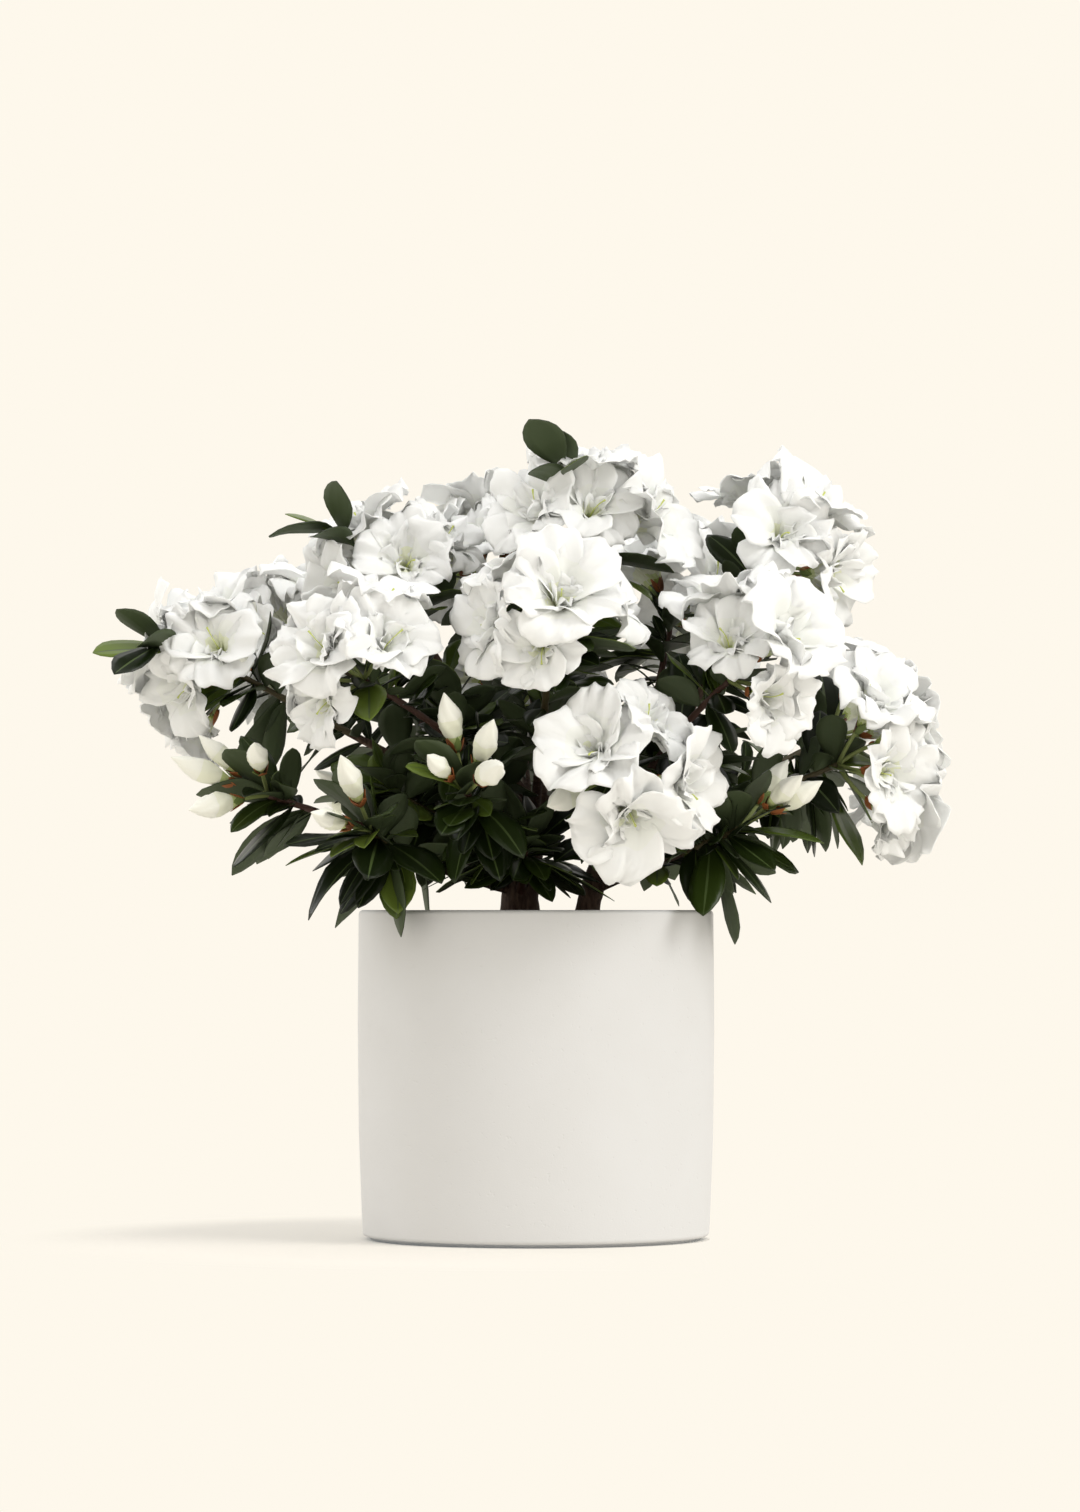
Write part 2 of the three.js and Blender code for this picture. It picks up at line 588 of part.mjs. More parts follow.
function soilProfile() {
  const radius = POT_RIM_RADIUS - POT_WALL - GAP;
  return [
    [0, POT_FLOOR + GAP],
    [radius, POT_FLOOR + GAP],
    [radius, SOIL_TOP - SOIL_MOUND],
    [0.72 * radius, SOIL_TOP - 0.4 * SOIL_MOUND],
    [0.5 * radius, SOIL_TOP],
    [0, SOIL_TOP],
  ];
}

add("pot", turned(potProfile()), colours.pot, 0.6);
add("soil", turned(soilProfile()), colours.soil, 0.95);

// ---- Stems and boughs ----
const TRUNK_SIDES = 10;
const BOUGH_SIDES = 5;
const LEAFY_STEM_SIDES = 4;
const STEM_SUNK = 1; // how far below its flat cut a stem is started

// A stem, cut flat just over the soil. It is grown by a clearance to cut its boughs by.
function stemSolid({ way, thickness }, grow) {
  const sunk = way[0].clone().addScaledVector(UP, -STEM_SUNK);
  const whole = limb([sunk, ...way.slice(1)], thickness.map((r) => r + grow), TRUNK_SIDES);
  return whole.trimByPlane([0, 0, 1], SOIL_TOP + GAP);
}

add("trunk", stemSolid(stems.trunk, 0), colours.bark, 0.85);
add("side_stem", stemSolid(stems.side, 0), colours.bark, 0.85);
const stemClear = [stemSolid(stems.trunk, GAP), stemSolid(stems.side, GAP)];

// A stem less what it would share with the trunk and the side stem.
const clearOfStems = (solid) => stemClear.reduce((left, stem) => left.subtract(stem), solid);

// A mass as one solid: its leafy stem, shoots and leaves, each fused on unless that would spoil the solid.
function massSolid(grown, index, start) {
  const { mass, way } = grown;
  const leafy = way.slice(start);
  const heading = way[start + 1].clone().sub(way[start]).normalize();
  if (!mass.direct) leafy[0] = way[start].clone().addScaledVector(heading, GAP);
  const stem = limb(leafy, leafy.map((_, i) => limbRadius((start + i) / LIMB_STEPS)), LEAFY_STEM_SIDES);
  const { shoots, leaves } = growMass(grown, index);
  const fused = [...shoots.map((shoot) => SHOOT_SOLIDS[shoot.kind](shoot)), ...leaves.map(leafSolid)];
  return fused.reduce((whole, solid) => oneBody(whole.add(solid), whole), clearOfStems(stem));
}

boughs.forEach((grown, index) => {
  const { mass, way, tip } = grown;
  const start = mass.direct ? 0 : BOUGH_SHARE * LIMB_STEPS;
  if (!mass.direct) {
    const bare = way.slice(0, start + 1);
    const whole = limb(bare, bare.map((_, i) => limbRadius(i / LIMB_STEPS)), BOUGH_SIDES);
    add(mass.name + "_bough", tip ? whole : oneBody(clearOfStems(whole), whole), colours.bark, 0.85);
  }
  add(mass.name, massSolid(grown, index, start), mass.blooms ? colours.foliage : colours.leaf, 0.6);
});

export default root;
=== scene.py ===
"""A white double-flowered azalea shrub in its plain ceramic pot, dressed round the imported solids. Metres."""

import math
from collections import namedtuple

import bpy
import numpy as np
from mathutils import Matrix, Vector


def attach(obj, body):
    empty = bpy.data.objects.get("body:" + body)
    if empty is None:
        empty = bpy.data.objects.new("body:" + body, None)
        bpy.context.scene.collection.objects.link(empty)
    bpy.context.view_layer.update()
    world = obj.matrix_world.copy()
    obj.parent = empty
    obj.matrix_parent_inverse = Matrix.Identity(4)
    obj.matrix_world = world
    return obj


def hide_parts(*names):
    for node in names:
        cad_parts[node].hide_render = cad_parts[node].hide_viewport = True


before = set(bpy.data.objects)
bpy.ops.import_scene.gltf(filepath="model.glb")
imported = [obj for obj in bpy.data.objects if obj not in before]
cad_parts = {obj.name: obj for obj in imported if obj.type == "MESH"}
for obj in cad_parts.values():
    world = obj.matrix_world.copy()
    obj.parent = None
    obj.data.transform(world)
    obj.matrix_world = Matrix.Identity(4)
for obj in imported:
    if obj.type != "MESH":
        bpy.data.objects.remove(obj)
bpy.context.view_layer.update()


# ---- The pot ----
# A straight round planter of unglazed white ceramic with a thin rounded lip. Its wall swells a little between
# base and lip. It stands on a foot set a few millimetres in from the wall.
POT_HEIGHT = 0.164
POT_RIM_RADIUS = 0.0886
POT_BELLY_RADIUS = 0.089
POT_BASE_RADIUS = 0.0864
WALL_HEIGHTS = [0, 0.32, 0.66, 1]  # shares of the height, and the radius at each
WALL_RADII = [POT_BASE_RADIUS, 0.0884, POT_BELLY_RADIUS, POT_RIM_RADIUS]
POT_WALL = 0.006
POT_FLOOR = 0.010
LIP_ROUND = 0.0022
FOOT_RADIUS = 0.082
FOOT_STEP = 0.0006  # how much wider the foot is at its top
FOOT_HEIGHT = 0.0016
POT_TURNS = 160
POLE = 0.0002  # radius of the flat that closes a turned surface on its axis
CERAMIC_PALE = (0.662, 0.662, 0.664, 1)
CERAMIC_WARM = (0.651, 0.650, 0.649, 1)


class Value:
    """A shader value. Sums, differences and products of values add their Math nodes."""

    def __init__(self, finish, socket):
        self.finish, self.socket = finish, socket

    def __add__(self, other):
        return self.finish.maths("ADD", self, other)

    def __sub__(self, other):
        return self.finish.maths("SUBTRACT", self, other)

    def __rsub__(self, other):
        return self.finish.maths("SUBTRACT", other, self)

    def __mul__(self, other):
        return self.finish.maths("MULTIPLY", self, other)

    __radd__ = __add__


class Finish:
    """One material: a Principled shader, and the nodes that vary it over the surface."""

    def __init__(self, name):
        self.material = bpy.data.materials.new(name)
        self.material.use_nodes = True
        self.tree = self.material.node_tree
        self.shader = self.tree.nodes["Principled BSDF"]

    def node(self, kind, settings=None, inputs=None, output=0):
        made = self.tree.nodes.new("ShaderNode" + kind)
        for name, value in (settings or {}).items():
            setattr(made, name, value)
        self.feed(made, inputs or {})
        return Value(self, made.outputs[output])

    def feed(self, node, inputs):
        for name, value in inputs.items():
            if isinstance(value, Value):
                self.tree.links.new(value.socket, node.inputs[name])
            else:
                node.inputs[name].default_value = value

    def maths(self, operation, first, second):
        return self.node("Math", {"operation": operation}, {0: first, 1: second})

    def set(self, **sockets):
        """Sockets of the shader by their names, with _ for a space. Returns the material."""
        self.feed(self.shader, {name.replace("_", " "): value for name, value in sockets.items()})
        return self.material

    def place(self, stretch=(1, 1, 1)):
        """Where on the piece: its own coordinates, multiplied by stretch."""
        place = self.node("TexCoord", output="Object")
        return self.node("VectorMath", {"operation": "MULTIPLY"}, {0: place, 1: stretch})

    def noise(self, place, scale, detail=3.0):
        return self.node("TexNoise", inputs={"Vector": place, "Scale": scale, "Detail": detail})

    def mix(self, share, first, second):
        return self.node("Mix", {"data_type": "RGBA"}, {0: share, 6: first, 7: second}, output=2)

    def soft_step(self, value, low, high):
        """0 below low, 1 above high, smooth between."""
        ends = {"Value": value, "From Min": low, "From Max": high}
        return self.node("MapRange", {"interpolation_type": "SMOOTHSTEP"}, ends)

    def bump(self, height, distance):
        return self.node("Bump", inputs={"Height": height, "Distance": distance}, output="Normal")


class Patches:
    """Surfaces gathered into one mesh."""

    def __init__(self):
        self.points, self.corners, self.sizes, self.finishes, self.flats = [], [], [], [], []
        self.count = 0

    def add(self, points, *groups):
        """Adds points and groups of faces: each an array of faces with equal corner counts, the finish of all
        or of each, and whether they are shaded flat."""
        points = np.asarray(points, float).reshape(-1, 3)
        self.points.append(points)
        for faces, finish, flat in groups:
            self.corners.append((faces + self.count).ravel())
            self.sizes.append(np.full(len(faces), faces.shape[1]))
            self.finishes.append(np.broadcast_to(finish, len(faces)))
            self.flats.append(np.full(len(faces), flat))
        self.count += len(points)

    def add_rings(self, rings, finish=0, ends=None):
        """Adds rings of corners joined all round, with a cap on each end. A ring runs counter-clockwise seen
        from the far end. ends has the caps' finishes if they aren't the sides' one."""
        sides, low, high = rings_closed(*rings.shape[:2])
        first, last = ends or (finish, finish)
        self.add(rings, (sides, finish, False), (low, first, False), (high, last, False))

    def made(self, name, materials):
        mesh = bpy.data.meshes.new(name)
        corners, sizes = np.concatenate(self.corners), np.concatenate(self.sizes)
        mesh.vertices.add(self.count)
        mesh.vertices.foreach_set("co", np.concatenate(self.points).astype(np.float32).ravel())
        mesh.loops.add(len(corners))
        mesh.loops.foreach_set("vertex_index", corners.astype(np.int32))
        mesh.polygons.add(len(sizes))
        mesh.polygons.foreach_set("loop_start", (np.cumsum(sizes) - sizes).astype(np.int32))
        mesh.polygons.foreach_set("material_index", np.concatenate(self.finishes).astype(np.int32))
        mesh.update(calc_edges=True)
        mesh.polygons.foreach_set("use_smooth", ~np.concatenate(self.flats))
        for material in materials:
            mesh.materials.append(material)
        made = bpy.data.objects.new(name, mesh)
        bpy.context.scene.collection.objects.link(made)
        return made

    def piece(self, name, materials, nodes):
        """The mesh as a piece that rides on the root body, with these materials, and stands for those nodes,
        which it hides.
        """
        made = self.made(name, materials)
        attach(made, "root")
        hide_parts(*nodes)


def rings_closed(rings, turns):
    """Quads between one ring of corners and the next, joined all round, and the cap on each end."""
    r, k = np.meshgrid(np.arange(rings - 1), np.arange(turns), indexing="ij")
    a, b = (r * turns + k).ravel(), (r * turns + (k + 1) % turns).ravel()
    sides = np.stack([a, b, b + turns, a + turns], 1)
    low = np.arange(turns)[None, ::-1]
    return sides, low, low[:, ::-1] + (rings - 1) * turns


def turned(profile, turns):
    """Rings of a profile of (radius, height) carried round +Z: (r cos a, r sin a, z)."""
    angle = 2 * np.pi * np.arange(turns) / turns
    x = profile[:, :1] * np.cos(angle)
    y = profile[:, :1] * np.sin(angle)
    return np.stack([x, y, np.broadcast_to(profile[:, 1:], x.shape)], 2)


def quarter(centre, radius, start, end, steps=6):
    """Points of an arc about a centre, from one angle to another, degrees."""
    angle = np.radians(np.linspace(start, end, steps + 1))
    return np.stack([centre[0] + radius * np.cos(angle), centre[1] + radius * np.sin(angle)], 1)


inner_radius = POT_RIM_RADIUS - POT_WALL
height_share = np.linspace(0.08, 0.95, 18)
wall_radius = np.interp(height_share, WALL_HEIGHTS, WALL_RADII)
pot_profile = np.concatenate([
    [[POLE, 0], [0.5 * FOOT_RADIUS, 0], [FOOT_RADIUS, 0], [FOOT_RADIUS + FOOT_STEP, FOOT_HEIGHT]],
    quarter((POT_BASE_RADIUS - LIP_ROUND, FOOT_HEIGHT + LIP_ROUND), LIP_ROUND, -90, 0),
    np.stack([wall_radius, height_share * POT_HEIGHT], 1),
    quarter((POT_RIM_RADIUS - LIP_ROUND, POT_HEIGHT - LIP_ROUND), LIP_ROUND, 0, 90),
    quarter((inner_radius + LIP_ROUND, POT_HEIGHT - LIP_ROUND), LIP_ROUND, 90, 180),
    [[inner_radius, 0.5 * POT_HEIGHT], [inner_radius, POT_FLOOR], [POLE, POT_FLOOR]],
])
pot_patches = Patches()
pot_patches.add_rings(turned(pot_profile, POT_TURNS))

ceramic = Finish("cast_white_ceramic")
at = ceramic.place()
clouding = ceramic.noise(at, 26)
grain = ceramic.noise(at, 1500, 2)
pores = ceramic.soft_step(ceramic.noise(at, 420, 1), 0.68, 0.78)
pot_finish = ceramic.set(
    Base_Color=ceramic.mix(ceramic.soft_step(clouding, 0.3, 0.7), CERAMIC_PALE, CERAMIC_WARM),
    Roughness=0.56 + clouding * 0.06,
    Normal=ceramic.bump(grain * 0.5 - pores * 0.7, 0.00010),
    IOR=1.45,
)
pot_patches.piece("pot_body", [pot_finish], ["pot"])


# ---- The soil ----
# Dark peaty potting mix with bark chips, heaped a little round the stems and lower at the wall. Its top is
# lumpy; its underside fills the pot.
SOIL_TOP = 0.142
SOIL_CLEAR = 0.0003
SOIL_FLOOR = POT_FLOOR + SOIL_CLEAR
SOIL_RADIUS = inner_radius - SOIL_CLEAR
SOIL_MOUND = 0.003  # how much lower it is at the wall
SOIL_SUNK = 0.0012  # room for the lumps under its top
SOIL_RINGS, SOIL_TURNS = 64, 180
LUMP_WAVES = 9
LUMP_HEIGHT = 0.0011
PEAT_DARK = (0.020, 0.012, 0.008, 1)
PEAT_BROWN = (0.075, 0.044, 0.026, 1)
CHIP_TAN = (0.20, 0.125, 0.07, 1)


def lumps(x, y):
    """Sum of waves in turned directions, each 1.42 times shorter and 0.78 times as high as the one before."""
    height = np.zeros_like(x)
    for n in range(LUMP_WAVES):
        turn, wave = 1.1 * n * n, 90 * 1.42**n
        height += np.sin(wave * (x * math.cos(turn) + y * math.sin(turn)) + 2.1 * n) * LUMP_HEIGHT * 0.78**n
    return height


soil_share = np.linspace(1, 0.004, SOIL_RINGS)
soil_profile = np.concatenate([
    [[POLE, SOIL_FLOOR], [SOIL_RADIUS, SOIL_FLOOR], [SOIL_RADIUS, SOIL_TOP - 2 * SOIL_MOUND]],
    np.stack([SOIL_RADIUS * soil_share, SOIL_TOP - SOIL_SUNK - SOIL_MOUND * soil_share**2], 1),
])
soil_rings = turned(soil_profile, SOIL_TURNS)
soil_rings[-SOIL_RINGS:, :, 2] += lumps(*soil_rings[-SOIL_RINGS:, :, :2].transpose(2, 0, 1))
soil_patches = Patches()
soil_patches.add_rings(soil_rings)

peat = Finish("peaty_soil")
at = peat.place()
crumbs = peat.noise(at, 260, 6)
chips = peat.soft_step(peat.noise(at, 120, 2), 0.62, 0.7)
peat_colour = peat.mix(peat.soft_step(crumbs, 0.35, 0.7), PEAT_DARK, PEAT_BROWN)
soil_finish = peat.set(
    Base_Color=peat.mix(chips, peat_colour, CHIP_TAN),
    Roughness=0.95,
    Normal=peat.bump(crumbs, 0.0016),
)
soil_patches.piece("soil_fill", [soil_finish], ["soil"])


# ---- The stems ----
# Two woody stems rise from one root, the thicker in the middle. Azalea bark is thin and grey-brown, with low
# ridges that run up the stem, and old scars go round it. Millimetres here, as in all that grows.
MM = 0.001
GAP = 0.3
STEM_FOOT = 142.3  # a gap over the soil
STEMS = {  # points, radii, and a turn for the pattern of its bark
    "trunk": ([[-7, 2, STEM_FOOT], [-7, 2, 152], [-8, 1, 170], [-4, 0, 196], [2, 1, 222]],
              [15, 11.5, 9.5, 8, 6], 0.4),
    "side_stem": ([[24, 5, STEM_FOOT], [24, 5, 151], [27, 4, 170], [37, 0, 198], [54, -5, 226]],
                  [9.5, 7, 6, 5.4, 4.6], 1.9),
}
LIMB_STEPS = 10
BARK_RINGS, BARK_TURNS = 72, 28
BARK_INSET = 0.97  # of the radius, so that the ridges come out to it
FLARE_HEIGHT = 5  # the root ribs die away over a few times this
BARK_GREY = (0.120, 0.075, 0.052, 1)
BARK_BROWN = (0.045, 0.021, 0.013, 1)
UP = np.array([0.0, 0.0, 1.0])


def unit(vectors):
    return vectors / np.linalg.norm(vectors, axis=-1, keepdims=True)


def smooth_way(points, steps, start=0, end=1):
    """A uniform Catmull-Rom curve through points, at equal steps from one share of it to another. Beyond each
    end the last stretch is mirrored."""
    points = np.asarray(points, float)
    held = np.concatenate([[2 * points[0] - points[1]], points, [2 * points[-1] - points[-2]]])
    t = (start + (end - start) * np.arange(steps + 1) / steps) * (len(points) - 1)
    k = np.minimum(t.astype(int), len(points) - 2)
    w = (t - k)[:, None]
    before, near, far, after = (held[k + n] for n in range(4))
    leave, arrive = (far - before) / 2, (after - near) / 2
    return (near + leave * w + (3 * (far - near) - 2 * leave - arrive) * w**2
            + (2 * (near - far) + leave + arrive) * w**3)


def radii_along(radii, steps):
    """Radii at equal steps between the given ones."""
    return np.interp(np.linspace(0, len(radii) - 1, steps + 1), np.arange(len(radii)), radii)


def tube(way, radii, turns, relief=1.0):
    """Rings of corners square to a way: point + radius × relief × (cos a × side + sin a × other)."""
    heading = unit(np.gradient(way, axis=0))
    pole = np.eye(3)[np.argmin(np.abs(heading.mean(0)))]
    side = unit(np.cross(pole, heading))
    other = np.cross(heading, side)
    angle = 2 * np.pi * np.arange(turns) / turns
    around = np.cos(angle)[None, :, None] * side[:, None] + np.sin(angle)[None, :, None] * other[:, None]
    size = np.broadcast_to(np.asarray(radii, float)[:, None], (len(way), turns)) * relief
    return way[:, None] + around * size[:, :, None]


def bark_relief(rings, turns, seed, ridges, depth):
    """1 + depth × the sum of ridges that wander round as they rise, scars that go round and knobs."""
    up, round_ = np.meshgrid(np.linspace(0, 1, rings), 2 * np.pi * np.arange(turns) / turns, indexing="ij")
    wander = 1.3 * np.sin(5 * up + seed) + 0.6 * np.sin(13 * up + 2 * seed)
    ridge = 0.6 * np.abs(np.sin(0.5 * ridges * round_ + wander))
    ridge = ridge + 0.25 * np.sin((ridges + 3) * round_ - 2 * wander)
    scar = np.exp(-((np.sin(17 * up + 0.6 * np.sin(round_ + seed))) / 0.18) ** 2)
    knob = np.sin(3 * round_ + 21 * up + seed) * np.sin(2 * round_ - 33 * up)
    return 1 + depth * (ridge + 0.5 * scar + 0.45 * knob - 0.4)


bark = Finish("azalea_bark")
at = bark.place((1, 1, 0.28))
fibres = bark.noise(at, 620, 5)
blotches = bark.noise(bark.place(), 60)
bark_finish = bark.set(
    Base_Color=bark.mix(bark.soft_step(fibres * 0.6 + blotches * 0.4, 0.36, 0.62), BARK_BROWN, BARK_GREY),
    Roughness=0.78 + fibres * 0.15,
    Normal=bark.bump(fibres, 0.0007),
)
for name, (points, radii, seed) in STEMS.items():
    way = smooth_way(points, BARK_RINGS - 1)
    ribs = np.sin(5 * 2 * np.pi * np.arange(BARK_TURNS) / BARK_TURNS + seed)
    flare = 1 + 0.10 * np.exp(-(way[:, 2] - way[0, 2]) / FLARE_HEIGHT)[:, None] * ribs
    relief = bark_relief(BARK_RINGS, BARK_TURNS, seed, 9, 0.07) * flare
    corners = tube(way, BARK_INSET * radii_along(radii, BARK_RINGS - 1), BARK_TURNS, relief)
    corners[0, :, 2] = STEM_FOOT
    stem_patches = Patches()
    stem_patches.add_rings(corners * MM)
    stem_patches.piece(name + "_bark", [bark_finish], [name])


# ---- The boughs ----
# One slender limb to each mass of the crown but one, out of a stem's side or its tip. Low masses have low
# seats. Each mass of blossom or leaves stands at a compass turn, a reach and a height of its own.
BOUGH_RADIUS = 2.7  # at its stem
BOUGH_END_RADIUS = 1.9  # where it enters its mass
HUB_RADIUS = 1.5  # at the end of the mass's own leafy stem
BOUGH_SHARE = 0.6  # of the way from stem to hub
LEAVING = [math.radians(12), math.radians(50)]  # least and most slope at its stem
SEAT_STEP = 2
SEAT_TRIES = 30
LOWEST_SEAT = 166
SEAT_BELOW_TOP = 5
SEAT_ENDS = [0.04, 0.96]  # seats are wished for between these shares of the rise to the highest
HUB_HEIGHTS = [185, 310]  # of the masses with the lowest and the highest seats
TIP_BEND = 0.4  # how far a bough on a tip keeps the stem's heading
SEAT_CLEAR = 0.7
SEAT_DEPTH = 6  # how far from its stem's middle a bough comes out
SWAYS = [0, 0.12, -0.12, 0.24, -0.24]  # shares of its length that it may bow to a side
# These and the other pairs for masses are for one with blooms and one without.
CROWN_FOCUS = np.array([[0.0, 22.0, 200.0], [0.0, 0.0, 120.0]])  # a mass's fan looks away from here
HUB_BACK = [30, 14]  # how far behind its middle its hub lies
BOUGH_RINGS, BOUGH_TURNS = 31, 10
BOUGH_SWELL = 0.35  # how much thicker its collar is at the stem
# name, stem, turn, reach, height, blooms, buds, sprigs, leaves
MASSES = [
    ("crown_top", "trunk_tip", 301, 51, 372, 7, 0, 1, 8),
    ("upper_right", "side_tip", 357, 136, 358, 7, 0, 0, 9),
    ("left_upper", "trunk", 190, 81, 350, 7, 0, 1, 9),
    ("far_left", "trunk", 183, 175, 296, 7, 2, 1, 13),
    ("front_left", "trunk", 227, 146, 290, 7, 0, 0, 13),
    ("front_middle", "trunk", 274, 126, 312, 7, 0, 0, 12),
    ("front_right", "side", 319, 148, 290, 7, 0, 0, 12),
    ("far_right", "side", 352, 180, 243, 4, 0, 0, 11),
    ("low_front_right", "side", 290, 132, 236, 4, 1, 0, 10),
    ("top_back", "trunk", 116, 69, 360, 7, 0, 0, 8),
    ("back_middle", "trunk", 94, 140, 288, 7, 0, 0, 8),
    ("back_left", "trunk", 149, 152, 312, 7, 0, 0, 8),
    ("back_right", "side", 44, 117, 336, 7, 0, 0, 8),
    ("right_back", "side", 20, 190, 262, 5, 1, 0, 11),
    ("low_left", "trunk", 204, 155, 228, 0, 4, 0, 16),
    ("low_right", "side", 333, 123, 212, 0, 3, 0, 17),
    ("low_front", "trunk", 252, 118, 230, 0, 4, 0, 16),
    ("low_back_left", "trunk", 129, 134, 220, 0, 3, 0, 13),
    ("low_back_right", "side", 54, 143, 228, 0, 3, 0, 13),
    ("inner_left", "trunk", 207, 89, 234, 0, 0, 0, 15),
    ("inner_front", "trunk", 264, 55, 206, 0, 0, 0, 15),
    ("inner_middle", "trunk", 197, 48, 274, 0, 0, 0, 12),
    ("inner_right", "side", 342, 92, 250, 0, 0, 0, 13),
    ("low_front_left", "trunk", 230, 135, 210, 0, 2, 0, 16),
]
DIRECT = "inner_front"  # this mass grows straight from the trunk


def mix(a, b, t):
    return a + (b - a) * t


class Mass:
    """A mass of the crown: its middle, the way that its shoots fan out, and its hub, where they start."""

    def __init__(self, index, name, stem, turn, reach, height, blooms, buds, sprigs, leaves):
        self.index, self.name, self.stem, self.height = index, name, stem, height
        self.blooms, self.buds, self.sprigs, self.leaves = blooms, buds, sprigs, leaves
        turn = math.radians(turn)
        self.middle = np.array([reach * math.cos(turn), reach * math.sin(turn), height])
        self.kind = 0 if blooms else 1
        self.outward = unit(self.middle - CROWN_FOCUS[self.kind])
        self.hub = self.middle - self.outward * HUB_BACK[self.kind]
        self.on_tip = stem.endswith("_tip")


def bezier(a, b, c, steps=LIMB_STEPS):
    """(1 - t)² a + 2 t (1 - t) b + t² c at equal steps of t."""
    t = np.linspace(0, 1, steps + 1)[:, None]
    return (1 - t) ** 2 * a + 2 * t * (1 - t) * b + t**2 * c


def way_to(seat, hub, sway):
    """The way from a seat to a hub. It leaves at a bounded slope and bows aside by a share of its length."""
    flat = (hub - seat) * [1, 1, 0]
    slope = math.atan2(hub[2] - seat[2], np.linalg.norm(flat))
    leave = min(max(slope, LEAVING[0]), LEAVING[1])
    start = unit(flat) * math.cos(leave) + UP * math.sin(leave)
    aside = unit(np.array([start[1], -start[0], 0]))
    length = np.linalg.norm(hub - seat)
    return bezier(seat, seat + start * 0.5 * length + aside * sway * length, hub)


def seats_in_turn(stem, wish):
    """Seats on a stem, from the height wished for to ever higher and lower ones."""
    for n in range(SEAT_TRIES):
        height = wish + SEAT_STEP * math.ceil(n / 2) * (1 if n % 2 else -1)
        if LOWEST_SEAT < height < stem[-1, 2] - SEAT_BELOW_TOP:
            i = max(1, int(np.argmax(stem[:, 2] >= height)))
            share = (height - stem[i - 1, 2]) / (stem[i, 2] - stem[i - 1, 2])
            yield mix(stem[i - 1], stem[i], share)


def finely(way):
    """Points a quarter of a stretch apart, and each one's share of the way."""
    n = np.arange(4 * (len(way) - 1))
    i, part = n // 4, ((n % 4) / 4)[:, None]
    return mix(way[i], way[i + 1], part), n / 4 / (len(way) - 1)


def outside(way, on_tip):
    """A bough's points past the part that is inside its stem."""
    points = finely(way)[0]
    return points if on_tip else points[np.linalg.norm(points - way[0], axis=1) > SEAT_DEPTH]


def spaced(a, b):
    """True if two sets of points are everywhere apart by two bough radii and a clearance."""
    apart = np.linalg.norm(a[:, None] - b[None], axis=2)
    return bool((apart >= 2 * BOUGH_RADIUS + SEAT_CLEAR).all())


masses = [Mass(index, *row) for index, row in enumerate(MASSES)]
stem_ways = {name: smooth_way(points, LIMB_STEPS) for name, (points, _, _) in STEMS.items()}
placed = []
for mass in sorted(masses, key=lambda m: (-m.on_tip, m.height)):
    stem = stem_ways["trunk" if mass.stem.startswith("trunk") else "side_stem"]
    top = stem[-1]
    if mass.on_tip:
        heading = unit(top - stem[-2])
        seat = top + heading * GAP
        mass.way = bezier(seat, seat + heading * TIP_BEND * np.linalg.norm(mass.hub - seat), mass.hub)
    else:
        rise = (mass.hub[2] - HUB_HEIGHTS[0]) / (HUB_HEIGHTS[1] - HUB_HEIGHTS[0])
        wish = mix(LOWEST_SEAT, top[2] - SEAT_BELOW_TOP, min(max(rise, SEAT_ENDS[0]), SEAT_ENDS[1]))
        ways = (way_to(seat, mass.hub, sway) for seat in seats_in_turn(stem, wish) for sway in SWAYS)
        mass.way = next(way for way in ways if all(spaced(outside(way, False), other) for other in placed))
    placed.append(outside(mass.way, mass.on_tip))


def limb_radius(t):
    """A limb's radius at a share of the way from its stem to its hub."""
    return np.interp(t, [0, BOUGH_SHARE, 1], [BOUGH_RADIUS, BOUGH_END_RADIUS, HUB_RADIUS])


bough_patches = Patches()
with_bough = [m for m in masses if m.name != DIRECT]
for mass in with_bough:
    way = smooth_way(mass.way, BOUGH_RINGS - 1, 0, BOUGH_SHARE + 0.02)
    relief = bark_relief(BOUGH_RINGS, BOUGH_TURNS, mass.index, 5, 0.08)
    swell = 1 + BOUGH_SWELL * np.exp(-np.linspace(0, 14, BOUGH_RINGS))
    radii = limb_radius(np.linspace(0, BOUGH_SHARE, BOUGH_RINGS)) * swell
    bough_patches.add_rings(tube(way, radii, BOUGH_TURNS, relief) * MM)
bough_patches.piece("boughs_bark", [bark_finish], [m.name + "_bough" for m in with_bough])


# ---- Where the shoots and leaves grow ----
# Every mass grows from its own leafy stem by one seeded rule: blooms or buds fan round the hub, sprigs of
# leaves stand between them, and leaves go round the stem below. What doesn't fit in its space is left out.
BLOOM_RADIUS, BLOOM_DEPTH = 29, 31
BUD_RADIUS, BUD_LENGTH = 7, 31
SHOOT_LENGTH = [21, 19]  # from the hub to the foot of a bloom or bud
RING_LEAN = {0: 50, 4: 44, 5: 56, 7: 62}  # how far a mass with so many blooms opens, degrees
BUD_LEANS = [(1.5, 1.7), (0.15, 0.95)]  # shares of that lean
MIDDLE_FROM = 5  # with so many blooms or more, one stands in the middle
SHOOT_TRIES = [  # share of the lean, share of the size, and turn
    (1, 1, 0), (1, 1, 0.3), (1, 1, -0.3), (0.88, 0.97, 0), (0.88, 0.97, 0.45), (0.88, 0.97, -0.45),
    (0.95, 0.88, 0.2), (0.95, 0.88, -0.2), (0.72, 0.88, 0), (1.15, 0.9, 0.3), (1.15, 0.9, -0.3),
    (0.8, 0.8, 0), (1, 0.78, 0.5), (1, 0.78, -0.5), (0.6, 0.76, 0.3), (0.6, 0.76, -0.3), (1.3, 0.76, 0),
    (0.8, 0.7, 0.6),
]
SHOOT_APART = 0.62  # of a shoot's radius, from foot to foot
SPRIG_LENGTH, SPRIG_LEAN, SPRIG_LEAVES = 50, 0.45, 4
LEAF_LENGTH = 43
LEAF_WIDTH_SHARE = 0.44
LEAF_DROOP = 0.18
LEAF_ROLL = 0.75
